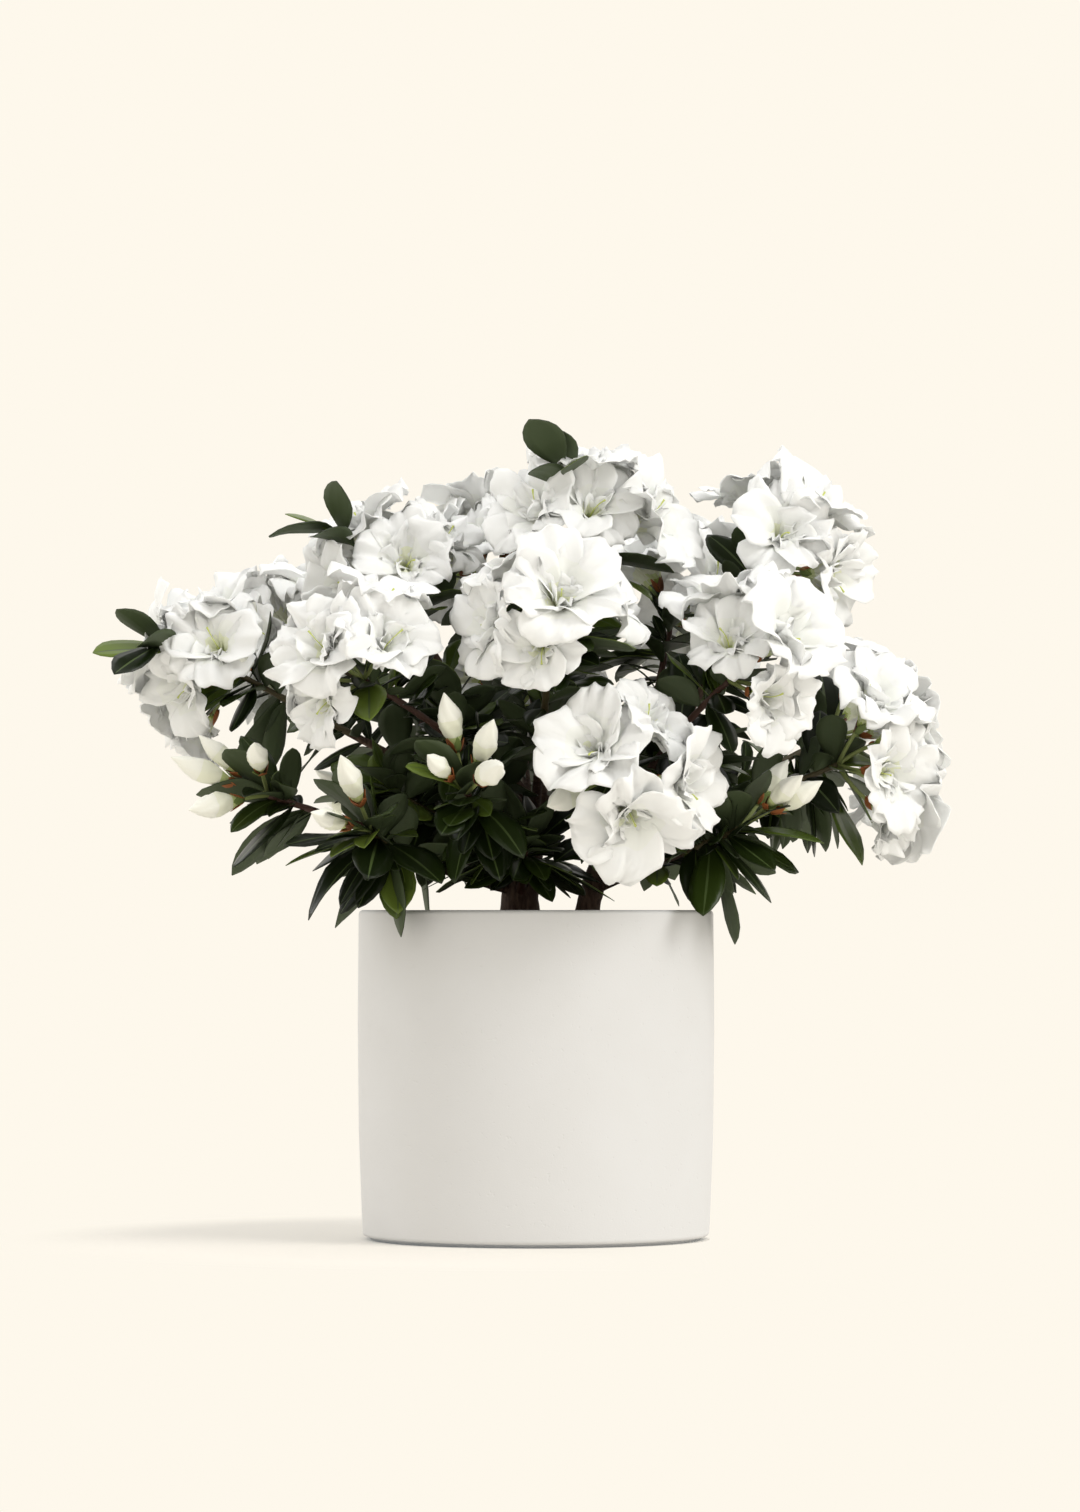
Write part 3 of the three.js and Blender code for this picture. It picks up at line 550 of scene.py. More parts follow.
LEAF_TRIES = 7
GOLDEN_ANGLE = 2.39996
SPACE_SIZE = [52, 38]
SPACE_MARGIN = 0.35
BLOOM_CLEAR, LEAF_CLEAR, POT_CLEAR = 3, 3.2, 3
FINE_CLEAR = 1.5  # for half-open blooms and small leaves
HALF_OPEN_TRIES = 26
HALF_OPEN_RADIUS = 19
HALF_OPEN_APART = 27  # between the middles of it and another
BLOOM_MIDDLE = 15
SMALL_LEAVES = [18, 28]
BOUGH_LEAVES = 14
BOUGH_LEAF_CLEAR = 1
BOUGH_LEAF_POT_CLEAR = (8, 9.4)  # over the pot's lip and beside it


def draws(seed):
    """Draws from 0 to 1. The state starts at (seed + 1) × 2654435761 and each draw makes it
    state × 1664525 + 1013904223, modulo two to the 32nd. The first four are dropped."""
    state = (seed + 1) * 2654435761 % 2**32

    def next_draw():
        nonlocal state
        state = (state * 1664525 + 1013904223) % 2**32
        return state / 2**32

    for _ in range(4):
        next_draw()
    return next_draw


def across(axis, spin):
    """The direction square to an axis, turned round it by spin from the level one."""
    pole = np.array([1.0, 0, 0]) if abs(axis[2]) > 0.95 else UP
    side = unit(np.cross(pole, axis))
    return side * math.cos(spin) + np.cross(axis, side) * math.sin(spin)


def lean(axis, polar, azimuth):
    return axis * math.cos(polar) + across(axis, azimuth) * math.sin(polar)


middles = np.array([m.middle for m in masses])
sizes = np.array([SPACE_SIZE[m.kind] for m in masses], float)
limbs = []
for mass in masses:
    points, share = finely(mass.way)
    limbs.append((points, limb_radius(share), np.where(share >= BOUGH_SHARE, mass.index, -1)))
for name, way in stem_ways.items():
    points, share = finely(way)
    radii = radii_along(STEMS[name][1], LIMB_STEPS)[(share * LIMB_STEPS).astype(int)]
    limbs.append((points, radii, np.full(len(points), -1)))
limb_points, limb_radii, limb_owner = (np.concatenate(parts) for parts in zip(*limbs))


def clear_of_pot(points, above, beside):
    """True if no point is less than above over the pot's lip and less than beside out from it."""
    low = points[:, 2] < POT_HEIGHT / MM + above
    return not (low & (np.hypot(points[:, 0], points[:, 1]) < POT_RIM_RADIUS / MM + beside)).any()


def clear_of_limbs(points, clear, own=None):
    """True if every point is clear of every limb but the leafy stem of the mass with that index."""
    away = np.linalg.norm(points[:, None] - limb_points, axis=2) - limb_radii
    return bool((away[:, limb_owner != own] > clear).all())


def fits(points, index, clear):
    """True if every point is off the pot, clear of limbs and in the mass's space, where
    |point − middle|² − size² is less than for every other mass, by a margin."""
    points = np.asarray(points)
    if not clear_of_pot(points, POT_CLEAR, POT_CLEAR):
        return False
    power = ((points[:, None] - middles) ** 2).sum(2) - sizes**2
    margin = 2 * SPACE_MARGIN * np.linalg.norm(middles - middles[index], axis=1)
    apart = power - power[:, index : index + 1] - margin
    return not (np.delete(apart, index, axis=1) < 0).any() and clear_of_limbs(points, clear, index)


def cup_points(base, aim, radius, depth):
    """A bloom's or bud's foot, tip and two rings, to test its space by."""
    points = [base, base + aim * depth]
    for k in range(8):
        side = across(aim, k * math.pi / 4)
        points.append(base + aim * 0.84 * depth + side * radius)
        points.append(base + aim * 0.5 * depth + side * 0.6 * radius)
    return points


class Leaf:
    """A leaf's root, aim, length, width and roll about its aim."""

    def __init__(self, root, aim, length, width, roll, on_sprig=False):
        self.root, self.aim, self.length, self.width = root, aim, length, width
        self.side, self.on_sprig = across(aim, roll), on_sprig

    def at(self, u, out):
        """root + aim × length × u − up × droop × length × u² + side × out × width."""
        u, out = np.asarray(u, float)[..., None], np.asarray(out, float)[..., None]
        hang = LEAF_DROOP * self.length * u * u
        return self.root + self.aim * self.length * u - UP * hang + self.side * out * self.width

    def reach(self):
        """Points of its midrib and margin, to test its space by."""
        return self.at([0.14, 0.34, 0.56, 0.78, 1, 0.3, 0.3, 0.55, 0.55, 0.8, 0.8],
                       [0, 0, 0, 0, 0, 0.3, -0.3, 0.5, -0.5, 0.25, -0.25])


class Shoot(namedtuple("Shoot", "kind base aim radius depth spin")):
    """A bloom, a half-open bloom, a bud or a leafy sprig."""

    def axes(self):
        """Its side, turned by its spin, the side square to that and its aim, as rows."""
        first = across(self.aim, self.spin)
        return np.stack([first, np.cross(self.aim, first), self.aim])

    def holds(self, points):
        """True if any point is inside its cone."""
        away = points - self.base
        height = away @ self.aim
        out = np.sqrt(np.maximum((away**2).sum(1) - height**2, 0))
        wide = self.radius * np.minimum(1, 0.25 + height / (0.8 * self.depth))
        return bool(((height > 0) & (height < self.depth) & (out < wide)).any())


def grow(mass):
    """The shoots and leaves of one mass, then its half-open blooms, its smaller leaves and its bough's."""
    index, axis, hub = mass.index, mass.outward, mass.hub
    draw = draws(index)
    phase = 2 * math.pi * draw()
    middle = 1 if mass.blooms >= MIDDLE_FROM else 0
    ring = max(mass.blooms - middle, 1)
    opening = math.radians(RING_LEAN[mass.blooms])
    reach = SHOOT_LENGTH[mass.kind]
    shoots, leaves = [], []

    def between(low, high):
        return mix(low, high, draw())

    def along(share):
        """The point at a share of the way from stem to hub, and the heading there."""
        spot = share * LIMB_STEPS
        start, end = mass.way[int(spot)], mass.way[int(spot) + 1]
        return mix(start, end, spot - int(spot)), unit(end - start)

    def place(kind, polar, azimuth, length, radius, depth):
        """Adds a shoot at the first try that is apart from the others and fits."""
        for pull, shrink, turn in SHOOT_TRIES:
            aim = lean(axis, polar * pull, azimuth + turn)
            base = hub + aim * length * (0.5 + 0.5 * shrink)
            alone = all(np.linalg.norm(other.base - base) > SHOOT_APART * radius * shrink for other in shoots)
            if alone and fits(cup_points(base, aim, radius * shrink, depth * shrink), index, BLOOM_CLEAR):
                shoots.append(Shoot(kind, base, aim, radius * shrink, depth * shrink, azimuth))
                return

    def whorl(count, leans, sway, lengths, widths, roots, turned_on, turn_step, clear):
        """Adds leaves along the stem between roots, shares of the way. Each turns on by the golden angle, and
        by turn_step of it at each try."""
        for k in range(count):
            u = (k + 0.5) / count
            polar = math.radians(mix(*leans, u) + between(-sway, sway))
            length = LEAF_LENGTH * between(*lengths)
            width = length * LEAF_WIDTH_SHARE * between(*widths)
            roll = LEAF_ROLL * between(-1, 1)
            root = along(mix(*roots, u))[0]
            for n in range(LEAF_TRIES):
                aim = lean(axis, polar, phase + GOLDEN_ANGLE * (k + turned_on + n * turn_step))
                leaf = Leaf(root, aim, length, width, roll)
                points = leaf.reach()
                if not any(shoot.holds(points) for shoot in shoots) and fits(points, index, clear):
                    leaves.append(leaf)
                    break

    for k in range(mass.blooms):
        size = between(0.92, 1.1)
        polar = 0.1 if k < middle else opening * between(0.94, 1.08)
        azimuth = phase + 2 * math.pi * (k - middle + between(-0.06, 0.06)) / ring
        place("bloom", polar, azimuth, reach * between(0.94, 1.12), BLOOM_RADIUS * size, BLOOM_DEPTH * size)
    for k in range(mass.buds):
        size = between(0.8, 1.1)
        polar = opening * between(*BUD_LEANS[mass.kind])
        azimuth = phase + math.pi / ring + GOLDEN_ANGLE * k
        place("bud", polar, azimuth, reach * between(0.9, 1.4), BUD_RADIUS * size, BUD_LENGTH * size)
    for n in range(mass.sprigs):
        aim = lean(axis, SPRIG_LEAN * opening, phase + math.pi * (2 * n + 1) / ring)
        base = hub + aim * SPRIG_LENGTH
        tuft = []
        for k in range(SPRIG_LEAVES):
            length = LEAF_LENGTH * between(0.8, 1.05)
            side = lean(aim, between(0.2, 0.75), phase + GOLDEN_ANGLE * k)
            root = mix(hub, base, 0.97 - 0.08 * k)
            tuft.append(Leaf(root, side, length, length * LEAF_WIDTH_SHARE, LEAF_ROLL * between(-1, 1), True))
        tuft = [leaf for leaf in tuft if fits(leaf.reach(), index, LEAF_CLEAR)]
        if tuft:
            shoots.append(Shoot("sprig", base, aim, 2, 2, 0))
        leaves += tuft
    whorl(mass.leaves, leans=(124, 66 if mass.blooms else 16), sway=9, lengths=(0.72, 1.16),
          widths=(0.85, 1.15), roots=(0.76, 0.99), turned_on=0.5, turn_step=0.31, clear=LEAF_CLEAR)
    draw = draws(index + 100)
    for k in range(HALF_OPEN_TRIES if mass.blooms else 0):
        aim = lean(axis, opening * between(0.1, 1.5), phase + GOLDEN_ANGLE * k)
        base = hub + aim * reach * between(0.8, 1.3)
        size = between(0.85, 1.2)
        radius, depth = HALF_OPEN_RADIUS * size, BLOOM_DEPTH * size
        apart = [other.base + other.aim * BLOOM_MIDDLE - base - aim * BLOOM_MIDDLE for other in shoots]
        alone = all(np.linalg.norm(way) > HALF_OPEN_APART for way in apart)
        if alone and fits(cup_points(base, aim, radius, depth), index, FINE_CLEAR):
            shoots.append(Shoot("half_open", base, aim, radius, depth, draw() * 6))
    whorl(SMALL_LEAVES[mass.kind], leans=(115, 40), sway=14, lengths=(0.4, 0.8), widths=(1.0, 1.35),
          roots=(0.62, 0.995), turned_on=0.21, turn_step=0.29, clear=FINE_CLEAR)
    for k in range(BOUGH_LEAVES):
        root, heading = along(mix(0.28, 0.66, (k + draw()) / BOUGH_LEAVES))
        length = LEAF_LENGTH * between(0.5, 0.95)
        roll = LEAF_ROLL * between(-1, 1)
        aim = lean(heading, between(0.8, 1.4), phase + GOLDEN_ANGLE * k)
        leaf = Leaf(root, aim, length, length * LEAF_WIDTH_SHARE, roll)
        points = leaf.reach()[1:]
        if clear_of_pot(points, *BOUGH_LEAF_POT_CLEAR) and clear_of_limbs(points, BOUGH_LEAF_CLEAR):
            leaves.append(leaf)
    return shoots, leaves


for mass in masses:
    mass.shoots, mass.grown_leaves = grow(mass)


# ---- The twigs and flower stalks ----
# Beyond each bough the year's leafy stem runs to the hub, red-brown in one mass and brown-green in the next.
# Every bloom, bud and sprig stands on a thin green stalk from the hub.
TWIG_COLOURS = {
    "twig_red_brown": (0.060, 0.024, 0.014, 1),
    "twig_brown_green": (0.070, 0.055, 0.020, 1),
    "stalk_green": (0.13, 0.19, 0.045, 1),
    "stalk_pale": (0.27, 0.32, 0.11, 1),
}
STALK_GREEN, STALK_PALE = 2, 3
TWIG_RINGS, TWIG_TURNS = 17, 7
STALK_STEPS, STALK_TURNS = 6, 6
STALK_SAG = 2.2
STALK_INTO = [0.5, 1.5]  # how far it runs into its shoot; the second, an open bloom
STALK_RADIUS = 1.1
STALK_TIP_RADIUS = [1.0, 0.7]  # the second, a sprig's


def plain(colours, **sockets):
    """A material of each plain colour."""
    return [Finish(name).set(Base_Color=colour, **sockets) for name, colour in colours.items()]


twig_patches = Patches()
for mass in masses:
    start = 0 if mass.name == DIRECT else BOUGH_SHARE
    way = smooth_way(mass.way, TWIG_RINGS - 1, start, 1)
    radius = limb_radius(np.linspace(start, 1, TWIG_RINGS)) * (1 + 0.09 * np.sin(np.arange(TWIG_RINGS) * 2.1))
    twig_patches.add_rings(tube(way, radius, TWIG_TURNS) * MM, mass.index % 2)
    rng = np.random.default_rng(500 + mass.index)
    for shoot in mass.shoots:
        sprig = shoot.kind == "sprig"
        sag = rng.uniform(-STALK_SAG, STALK_SAG, 3)
        end = shoot.base + shoot.aim * STALK_INTO[shoot.kind == "bloom"]
        way = bezier(mass.hub, (mass.hub + end) / 2 + sag, end, STALK_STEPS)
        radius = np.linspace(STALK_RADIUS, STALK_TIP_RADIUS[sprig], STALK_STEPS + 1)
        twig_patches.add_rings(tube(way, radius, STALK_TURNS) * MM, STALK_GREEN if sprig else STALK_PALE)
twig_finishes = plain(TWIG_COLOURS, Roughness=0.6)
twig_patches.piece("twigs_and_stalks", twig_finishes, [m.name for m in masses])


# ---- The leaves ----
# Leathery pointed-oval leaves on short stalks, folded a little along a paler midrib, curled down at the edges
# and drooping to the tip. Their upper side is glossy; their underside is paler and dull.
LEAF_GREENS = {
    "leaf_darkest": (0.006, 0.011, 0.002, 1),
    "leaf_dark": (0.011, 0.020, 0.003, 1),
    "leaf_middle": (0.022, 0.038, 0.005, 1),
    "leaf_bright": (0.058, 0.090, 0.012, 1),
    "leaf_young": (0.115, 0.165, 0.026, 1),
}
LEAF_MIDRIB = {"leaf_midrib": (0.060, 0.090, 0.026, 1)}
LEAF_UNDERSIDE = {"leaf_underside": (0.050, 0.072, 0.028, 1)}
MIDRIB_SLOT, UNDERSIDE_SLOT = 5, 6
YOUNG_SHARE = [0.06, 0.275]  # of the leaves on a stem, and of those on a sprig, that have the youngest green
LEAF_ALONG = np.array([0, 0.035, 0.08, 0.16, 0.28, 0.42, 0.56, 0.70, 0.83, 0.93, 1.0])
LEAF_OVER = np.array([-1, -0.55, -0.07, 0.07, 0.55, 1])
LEAF_SHAPE = np.interp(  # its width along it
    LEAF_ALONG,
    [0, 0.05, 0.09, 0.2, 0.36, 0.55, 0.68, 0.82, 0.92, 0.97, 1],
    [0.09, 0.08, 0.20, 0.52, 0.85, 1.0, 0.97, 0.76, 0.46, 0.24, 0.03],
)
LEAF_THICK = 0.30
HIGH_MASS = 300


def sheet_faces(rows, columns):
    """The upper, lower and margin quads of a thin closed sheet, whose upper points come before its lower."""
    n = rows * columns
    index = np.arange(n).reshape(rows, columns)
    a, b, c, d = (part.ravel() for part in (index[:-1, :-1], index[1:, :-1], index[1:, 1:], index[:-1, 1:]))
    rim = np.concatenate([index[:, 0], index[-1, 1:], index[-2::-1, -1], index[0, -2:0:-1]])
    after = np.roll(rim, -1)
    margin = np.stack([rim, rim + n, after + n, after], 1)
    return np.stack([a, b, c, d], 1), np.stack([a, d, c, b], 1) + n, margin


def add_sheet(patches, points, thick, upper, lower, margin):
    """Adds a thin closed sheet: its points moved by half the thickness along and against the normal, the
    cross product of its two directions. upper, lower and margin are its finishes. If thick is negative, the
    upper side is against the normal."""
    offset = unit(np.cross(np.gradient(points, axis=0), np.gradient(points, axis=1))) * thick / 2
    both = np.concatenate([(points + offset).reshape(-1, 3), (points - offset).reshape(-1, 3)])
    turn = 1 if thick > 0 else -1
    up, down, rim = (faces[:, ::turn] for faces in sheet_faces(*points.shape[:2]))
    patches.add(both * MM, (up, upper, False), (down, lower, False), (rim, margin, True))


def leaf_points(leaf, rng):
    """The leaf's own formula, lifted by a fold that grows from the midrib, lowered by a curl that grows with
    its square, waved along the margin and arched along its length."""
    u, v = np.meshgrid(LEAF_ALONG, LEAF_OVER, indexing="ij")
    half = 0.5 * LEAF_SHAPE[:, None] * leaf.width
    fold, curl, wave = rng.uniform(0.12, 0.42), rng.uniform(0.05, 0.3), rng.uniform(0.0, 0.05)
    lift = half * (fold * np.abs(v) - curl * v * v)
    lift = lift + wave * leaf.length * v * np.sin(7 * u + rng.uniform(0, 6)) * u * LEAF_SHAPE[:, None]
    lift = lift + rng.uniform(-0.05, 0.05) * leaf.length * np.sin(math.pi * u)
    normal = np.cross(leaf.aim, leaf.side)
    return leaf.at(u, 0.5 * LEAF_SHAPE[:, None] * v) + normal * lift[..., None]


leaf_materials = plain(LEAF_GREENS, Roughness=0.34, Specular_IOR_Level=0.36, IOR=1.4)
leaf_materials += plain(LEAF_MIDRIB, Roughness=0.4) + plain(LEAF_UNDERSIDE, Roughness=0.62)
is_midrib = np.tile(np.arange(len(LEAF_OVER) - 1) == 2, len(LEAF_ALONG) - 1)
leaf_groups = {
    "leaves_above": [m for m in masses if m.blooms and m.height > HIGH_MASS],
    "leaves_beside": [m for m in masses if m.blooms and m.height <= HIGH_MASS],
    "leaves_below": [m for m in masses if not m.blooms],
}
for name, group in leaf_groups.items():
    leaf_patches = Patches()
    for mass in group:
        rng = np.random.default_rng(900 + mass.index)
        for leaf in mass.grown_leaves:
            young = YOUNG_SHARE[leaf.on_sprig]
            green = rng.choice(5, p=[0.30, 0.28, 0.22 - young / 2, 0.20 - young / 2, young])
            upper = np.where(is_midrib, MIDRIB_SLOT, green)
            add_sheet(leaf_patches, leaf_points(leaf, rng), LEAF_THICK, upper, UNDERSIDE_SLOT, green)
    leaf_patches.piece(name, leaf_materials, [m.name for m in group])


# ---- The blooms ----
# Double white azalea flowers, most of them about 60 mm across. Five broad outer petals open from a narrow
# green-tinged throat and roll back at their waved margins; three to five smaller ones stand inside them, and
# crumpled strips fill the heart round one thin green style.
PETAL_COLOURS = {
    "petal_white": (0.915, 0.925, 0.92, 1),
    "petal_soft_white": (0.905, 0.92, 0.885, 1),
    "petal_cream": (0.88, 0.905, 0.71, 1),
    "throat_pale_green": (0.72, 0.80, 0.42, 1),
    "throat_green": (0.46, 0.58, 0.15, 1),
    "style_green": (0.52, 0.58, 0.16, 1),
}
WHITE, SOFT_WHITE, CREAM, PALE_GREEN, GREEN, STYLE = range(6)
SOFT_HEARTS = 0.35  # the share of the blooms whose heart is soft white, not cream
# For each kind of petal: its grid, the shares of the bloom's opening that its bend and reflex take, and its
# measures, each one number or drawn from a range.
PETALS = {
    "outer": ((13, 17), (0.3, 1), dict(
        length=(1.34, 1.62), width=(0.56, 0.70), bend=0.20, reflex=(1.2, 2.45), ruffle=(0.09, 0.18),
        point=(0.12, 0.30), twist=(-0.35, 0.35))),
    "inner": ((10, 11), (0, 0.6), dict(
        length=(0.82, 1.2), width=(0.24, 0.42), bend=0.13, reflex=(0.7, 1.8), ruffle=(0.09, 0.16),
        point=(0.2, 0.4), twist=(-0.7, 0.7))),
    "strip": ((7, 5), (0, 0), dict(
        length=(0.6, 0.92), width=(0.10, 0.22), bend=(0.02, 0.12), reflex=(0.2, 1.2), ruffle=(0.07, 0.12),
        point=0.3, twist=(-1, 1))),
}
OUTER_ENDS = [[0.10, 0.20, 0.34, 0.55], [0.16, 0.30, 0.46, 0.66]]  # of its finishes; the second, half open
PETAL_THICK = 0.22
PETAL_REACH = 1.15  # how far a petal may stand out from its bloom's axis, in radii
SOFT_LIMIT = 0.22  # how far before a limit a petal starts to be drawn in
STYLE_RADII = [0.45, 0.36, 0.33, 0.3, 0.28, 0.28, 0.32, 0.6]
STYLE_TURNS = 5


def drawn_in(reach, most):
    """reach, with what is over most − SOFT_LIMIT drawn in by a hyperbolic tangent, to stay within most."""
    over = np.maximum(reach - most + SOFT_LIMIT, 0)
    return reach - over + SOFT_LIMIT * np.tanh(over / SOFT_LIMIT)


def turned_round(turn, out, side, up):
    """Points by how far they are out from an axis, to the side and up it, turned round it."""
    x = out * math.cos(turn) - side * math.sin(turn)
    y = out * math.sin(turn) + side * math.cos(turn)
    return np.stack([x, y, up], 2)


def petal_points(grid, rng, shoot, turn, length, width, bend, reflex, ruffle, point, twist):
    """A petal about its flower's axis. Its midline leans from the axis by bend + (reflex − bend) × s^1.3 at
    share s of its length. Across it runs an arc of radius out × (1 + 2.6 s²), where out is the distance from
    the axis; it rolls back past a third of the length. Waves and ruffles grow towards the margin, a crumple
    covers the rest, a crease runs up the middle and twist turns it about its midline. The side columns are
    shorter by point and a small notch. Last, it is drawn in to the bloom's depth and to PETAL_REACH."""
    s, v = np.meshgrid(np.linspace(0, 1, grid[0]), np.linspace(-1, 1, grid[1]), indexing="ij")
    notch = rng.uniform(-0.02, 0.04) * np.cos(math.pi * v) + rng.uniform(-0.07, 0.07) * v
    s = s * (1 - point * np.abs(v) ** 1.9 + notch + 0.04 * np.sin(8 * v + rng.uniform(0, 6)))
    fine = np.linspace(0, 1.15, 60)
    angle = bend + (reflex - bend) * fine**1.3
    run = length * (fine[1] - fine[0])
    out = np.interp(s, fine, 0.05 + np.cumsum(np.sin(angle)) * run)
    up = np.interp(s, fine, np.cumsum(np.cos(angle)) * run)
    angle = np.interp(s, fine, angle)
    half = width * np.interp(
        s, [0, 0.12, 0.3, 0.5, 0.7, 0.88, 1.05], [0.08, 0.2, 0.50, 0.84, 1.0, 0.92, 0.66])
    arc = np.maximum(out, 0.06) * (1 + 2.6 * s**2)
    side = arc * np.sin(half * v / arc)
    rise = arc * (1 - np.cos(half * v / arc)) * (1 - rng.uniform(0.9, 1.7) * np.clip(s - 0.35, 0, 1))
    edge = np.clip(np.maximum(np.abs(v) * np.minimum(1, 1.8 * s), s), 0, 1) ** 2.5
    around = np.arctan2(v, 1.25 * (s - 0.42))
    for height, least, most in ((0.9, 2.4, 4.2), (0.65, 6, 9), (0.34, 12, 16)):
        waves = np.sin(rng.uniform(least, most) * around + rng.uniform(0, 6))
        rise = rise + ruffle * edge * height * waves
    crumple = np.sin(6.5 * v + rng.uniform(0, 6) + 2.2 * s) + 0.5 * np.sin(4 * v - 9 * s + rng.uniform(0, 6))
    rise = rise + 0.36 * ruffle * crumple * np.sin(math.pi * np.clip(s, 0, 1))
    crease = np.exp(-((v / 0.16) ** 2)) * np.clip(s, 0, 1) * (1 - 0.6 * s)
    rise = rise - 0.035 * crease + math.sin(twist) * side * s
    out, up = out - np.cos(angle) * rise, drawn_in(up + np.sin(angle) * rise, shoot.depth / shoot.radius)
    pull = drawn_in(np.hypot(out, side), PETAL_REACH) / np.hypot(out, side)
    return turned_round(turn, out * pull, side * pull, up) * shoot.radius


def row_slots(rows, ends, finishes):
    """The finish of each row of faces: each runs up to its end, a share of the length."""
    middle = (np.arange(rows - 1) + 0.5) / (rows - 1)
    return np.asarray(finishes)[np.searchsorted(ends, middle)]


def add_bloom(patches, shoot, rng):
    """Outer petals all round, small inner ones, crumpled strips in the heart and the style. A half-open bloom
    holds its petals up."""
    axes = shoot.axes()
    half_open = shoot.kind == "half_open"
    open_by = -0.75 if half_open else rng.uniform(-0.12, 0.15)
    heart = SOFT_WHITE if rng.uniform() < SOFT_HEARTS else CREAM

    def add_petal(kind, turn, ends, finishes):
        grid, opens, measures = PETALS[kind]
        drawn = {key: rng.uniform(*m) if isinstance(m, tuple) else m for key, m in measures.items()}
        drawn["bend"] += opens[0] * open_by
        drawn["reflex"] += opens[1] * open_by
        points = shoot.base + petal_points(grid, rng, shoot, turn, **drawn) @ axes
        slots = row_slots(grid[0], ends, finishes)
        each = np.repeat(slots, grid[1] - 1)
        add_sheet(patches, points, -PETAL_THICK, each, each, slots[-1])

    for k in range(5):
        add_petal("outer", 2 * math.pi * (k + rng.uniform(-0.13, 0.13)) / 5, OUTER_ENDS[half_open],
                  [GREEN, PALE_GREEN, CREAM, SOFT_WHITE, WHITE])
    for k in range(rng.integers(3, 6)):
        add_petal("inner", 2 * math.pi * (k + 0.5 + rng.uniform(-0.25, 0.25)) / 4, [0.12, 0.26, 0.5],
                  [GREEN, PALE_GREEN, heart, WHITE])
    for _ in range(rng.integers(4, 7)):
        add_petal("strip", rng.uniform(0, 2 * math.pi), [0.35, 0.7], [PALE_GREEN, heart, WHITE])
    tip = np.array([rng.uniform(-0.3, 0.3), rng.uniform(-0.3, 0.3), 0.85]) @ axes
    way = bezier(shoot.base, shoot.base + shoot.aim * 0.6 * shoot.radius, shoot.base + tip * shoot.radius,
                 len(STYLE_RADII) - 1)
    patches.add_rings(tube(way, STYLE_RADII, STYLE_TURNS) * MM, STYLE)


petal_materials = plain(PETAL_COLOURS, Roughness=0.62, IOR=1.33, Subsurface_Weight=0.2,
                        Subsurface_Radius=(1, 1, 1), Subsurface_Scale=0.003)
bloom_groups = {
    "blooms_top": ["crown_top", "upper_right", "left_upper", "top_back"],
    "blooms_front": ["front_middle", "front_left", "front_right", "low_front_right"],
    "blooms_sides": ["far_left", "far_right", "right_back"],
    "blooms_back": ["back_left", "back_middle", "back_right"],
}
for name, names in bloom_groups.items():
    bloom_patches = Patches()
    for mass in [m for m in masses if m.name in names]:
        rng = np.random.default_rng(1300 + mass.index)
        for shoot in mass.shoots:
            if shoot.kind in ("bloom", "half_open"):
                add_bloom(bloom_patches, shoot, rng)
    bloom_patches.piece(name, petal_materials, names)


# ---- The buds and their scales ----
# Unopened flowers are pointed spindles of five petals wound round each other, green at the foot, then cream
# and white. Papery scales, rust-brown or green, sit round the foot of each bud and bloom.
BUD_COLOURS = {
    "bud_cream": (0.82, 0.83, 0.68, 1),
    "bud_white": (0.88, 0.88, 0.80, 1),
    "bud_green": (0.56, 0.64, 0.28, 1),
    "scale_rust": (0.33, 0.105, 0.028, 1),
    "scale_brown": (0.15, 0.050, 0.018, 1),
    "calyx_green": (0.16, 0.22, 0.06, 1),
}
BUD_CREAM, BUD_WHITE, BUD_GREEN, SCALE_RUST, SCALE_BROWN, CALYX_GREEN = range(6)
BUD_RINGS, BUD_TURNS = 22, 30
BUD_SCALES = 5
SCALE_GRID = (6, 5)
SCALE_THICK = 0.25
SCALE_FOOT = 3.5  # how far behind the base they start
SCALE_LOOSE = [0, 1.6]  # how much further they stand out; the second, a bud's


def bud_points(shoot, rng):
    """A bowed spindle: radius × profile at each height, with five overlapping petals as steps that wind by a
    third of a turn from foot to tip."""
    turns = 2 * np.pi * np.arange(BUD_TURNS) / BUD_TURNS
    u, angle = np.meshgrid(np.linspace(0, 1, BUD_RINGS), turns, indexing="ij")
    profile = np.interp(
        u, [0, 0.08, 0.25, 0.42, 0.58, 0.76, 0.9, 1], [0.30, 0.46, 0.80, 1.0, 0.97, 0.66, 0.30, 0.04])
    wound = (5 * (angle / (2 * np.pi) + 0.34 * u) + rng.uniform()) % 1
    step = 0.80 + 0.24 * wound - 0.14 * np.exp(-((wound - 1) / 0.08) ** 2)
    size = shoot.radius * rng.uniform(0.82, 1.02) * profile * (1 + (step - 1) * np.minimum(1, 3 * u))
    depth = shoot.depth * rng.uniform(0.86, 1.06)
    bow = rng.uniform(-3, 3) * u**1.5
    around = [bow + size * np.cos(angle), size * np.sin(angle), depth * u]
    return shoot.base + np.stack(around, 2) @ shoot.axes()


def scale_points(shoot, rng, turn, loose):
    """A scale: its width rises and falls along it, and it stands out towards its tip, further by loose."""
    u, v = np.meshgrid(np.linspace(0, 1, SCALE_GRID[0]), np.linspace(-1, 1, SCALE_GRID[1]), indexing="ij")
    length = rng.uniform(6, 9.5)
    side = rng.uniform(1.9, 2.8) * np.interp(u, [0, 0.3, 0.6, 1], [0.45, 1, 0.85, 0.06]) * v
    out = mix(1.2, rng.uniform(2.4, 3.6) + loose, u**0.8) - 0.09 * side**2
    return shoot.base + turned_round(turn, out, side, length * u - SCALE_FOOT) @ shoot.axes()


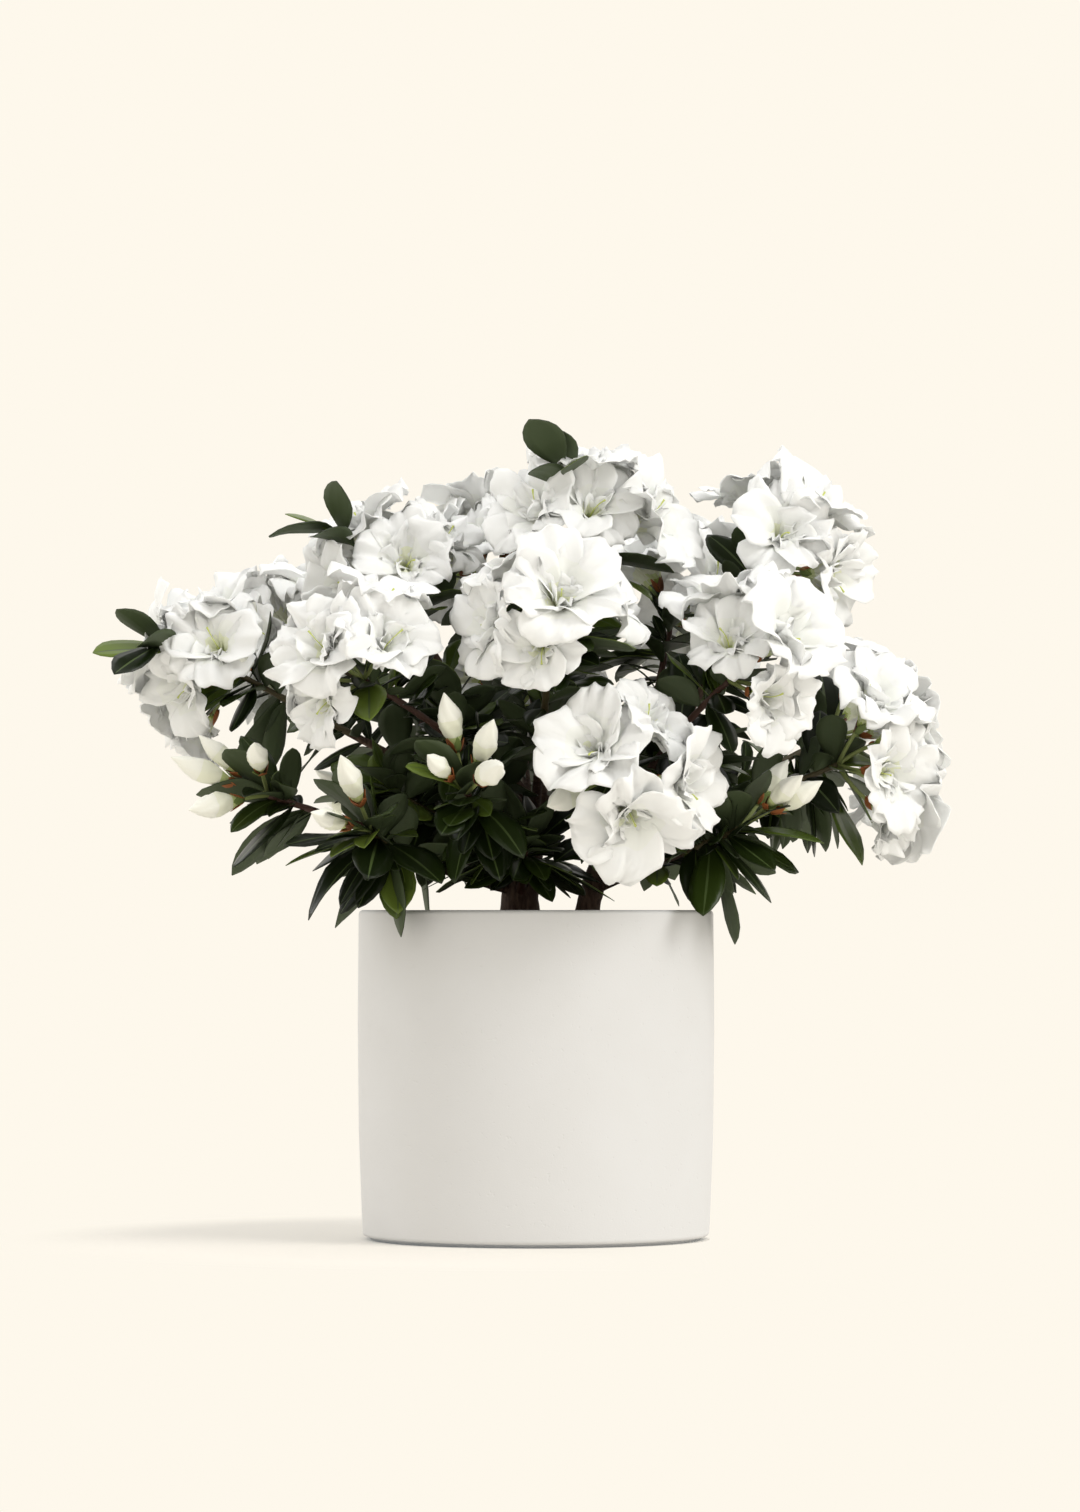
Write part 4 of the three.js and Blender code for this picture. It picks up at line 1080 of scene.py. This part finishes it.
bud_patches = Patches()
bud_rows = np.repeat(row_slots(BUD_RINGS, [0.2, 0.5], [BUD_GREEN, BUD_CREAM, BUD_WHITE]), BUD_TURNS)
for mass in masses:
    rng = np.random.default_rng(1700 + mass.index)
    for shoot in [s for s in mass.shoots if s.kind != "sprig"]:
        bud = shoot.kind == "bud"
        if bud:
            bud_patches.add_rings(bud_points(shoot, rng) * MM, bud_rows, (BUD_GREEN, BUD_WHITE))
        count = BUD_SCALES if bud else int(rng.integers(2, 5))
        for k in range(count):
            turn = 2 * math.pi * (k + rng.uniform(-0.2, 0.2)) / count
            points = scale_points(shoot, rng, turn, SCALE_LOOSE[bud])
            slot = rng.choice([SCALE_RUST, SCALE_BROWN, CALYX_GREEN], p=[0.5, 0.25, 0.25])
            add_sheet(bud_patches, points, -SCALE_THICK, slot, slot, slot)
bud_materials = plain(BUD_COLOURS, Roughness=0.6)
bud_patches.piece("buds_and_scales", bud_materials, [m.name for m in masses if m.blooms or m.buds])


# ---- The floor, the light and the camera ----
# The pot stands in the middle of a wide cream bowl whose floor curves up into its wall. A large soft lamp in
# front on the right throws the shadow to the left, a weaker one is at the back left, and the room gives the
# rest.
CREAM_SWEEP = (0.991, 0.939, 0.838, 1)
FLOOR_CREAM = (0.79, 0.737, 0.655, 1)
FLOOR_GLOW = (0.021, 0.047, 0.075, 1)
SHADOW_REACH = (0.185, 0.27)  # beyond this the sweep glows like the lit floor, without shadow
SHADOW_SIDE = (-0.06, 0.08)  # and to the right of this as well
POT_EDGE = (0.0864, 0.0868)  # but not inside this, under the pot
SWEEP_RADIUS = 7.0
SWEEP_ROUND = 1.5
SWEEP_TOP = 3.0
SWEEP_TURNS = 96
ROOM_WHITE = (1.0, 0.985, 0.96, 1)
ROOM_STRENGTH = 1.07
LAMP_MIDDLE = (0, 0, 0.25)
LAMP_AWAY = 3
LAMP_ANGLE = math.radians(28)
CAMERA_AT = (0.002, -2.93, 0.1635)
CAMERA_LOOKS_AT = (0.002, 0.0, 0.241)
VIEW_HEIGHT = 0.756  # at the pot
SENSOR = 36.0

sweep_profile = np.concatenate([
    [[POLE, 0.0]],
    quarter((SWEEP_RADIUS - SWEEP_ROUND, SWEEP_ROUND), SWEEP_ROUND, -90, 0, 24),
    [[SWEEP_RADIUS, SWEEP_TOP]],
])
sides, middle, _ = rings_closed(len(sweep_profile), SWEEP_TURNS)
sweep_patches = Patches()
sweep_patches.add(turned(sweep_profile, SWEEP_TURNS), (sides[:, ::-1], 0, False), (middle[:, ::-1], 0, False))
sweep = Finish("cream_sweep")
at = sweep.place()
distance = sweep.node("VectorMath", {"operation": "LENGTH"}, {0: at}, output="Value")
place_x = sweep.node("SeparateXYZ", inputs={0: at}, output="X")
shaded = (1 - sweep.soft_step(distance, *SHADOW_REACH)) * (1 - sweep.soft_step(place_x, *SHADOW_SIDE))
glows = (1 - shaded) * sweep.soft_step(distance, *POT_EDGE)
sweep_finish = sweep.set(
    Base_Color=sweep.mix(glows, FLOOR_CREAM, (0, 0, 0, 1)), Roughness=1.0, IOR=1.0,
    Emission_Color=sweep.mix(glows, FLOOR_GLOW, CREAM_SWEEP), Emission_Strength=1.0)
floor = sweep_patches.made("sweep", [sweep_finish])

world = bpy.data.worlds.new("room")
bpy.context.scene.world = world
world.use_nodes = True
background = world.node_tree.nodes["Background"].inputs
background["Color"].default_value = ROOM_WHITE
background["Strength"].default_value = ROOM_STRENGTH


def aimed(name, data, place, direction):
    """An object that stands at a place and looks along a direction."""
    made = bpy.data.objects.new(name, data)
    bpy.context.scene.collection.objects.link(made)
    made.location = place
    made.rotation_mode = "QUATERNION"
    made.rotation_quaternion = Vector(direction).to_track_quat("-Z", "Y")
    return made


def lamp(name, energy, direction, colour=(1, 1, 1)):
    """A wide sun lamp that shines along a direction, through LAMP_MIDDLE."""
    data = bpy.data.lights.new(name, "SUN")
    data.energy, data.angle, data.color = energy, LAMP_ANGLE, colour
    heading = unit(np.array(direction))
    aimed(name, data, LAMP_MIDDLE - LAMP_AWAY * heading, heading.tolist())


lamp("key", 1.27, (-0.75, 0.46, -0.68), (1.0, 0.99, 0.97))
lamp("back_left", 0.75, (0.80, -0.45, -0.50))

camera_data = bpy.data.cameras.new("camera")
reach = Vector(CAMERA_LOOKS_AT) - Vector(CAMERA_AT)
camera_data.sensor_width = SENSOR
camera_data.sensor_fit = "AUTO"
camera_data.lens = SENSOR * reach.length / VIEW_HEIGHT
bpy.context.scene.camera = aimed("camera", camera_data, CAMERA_AT, reach)
bpy.context.scene.view_settings.view_transform = "Standard"
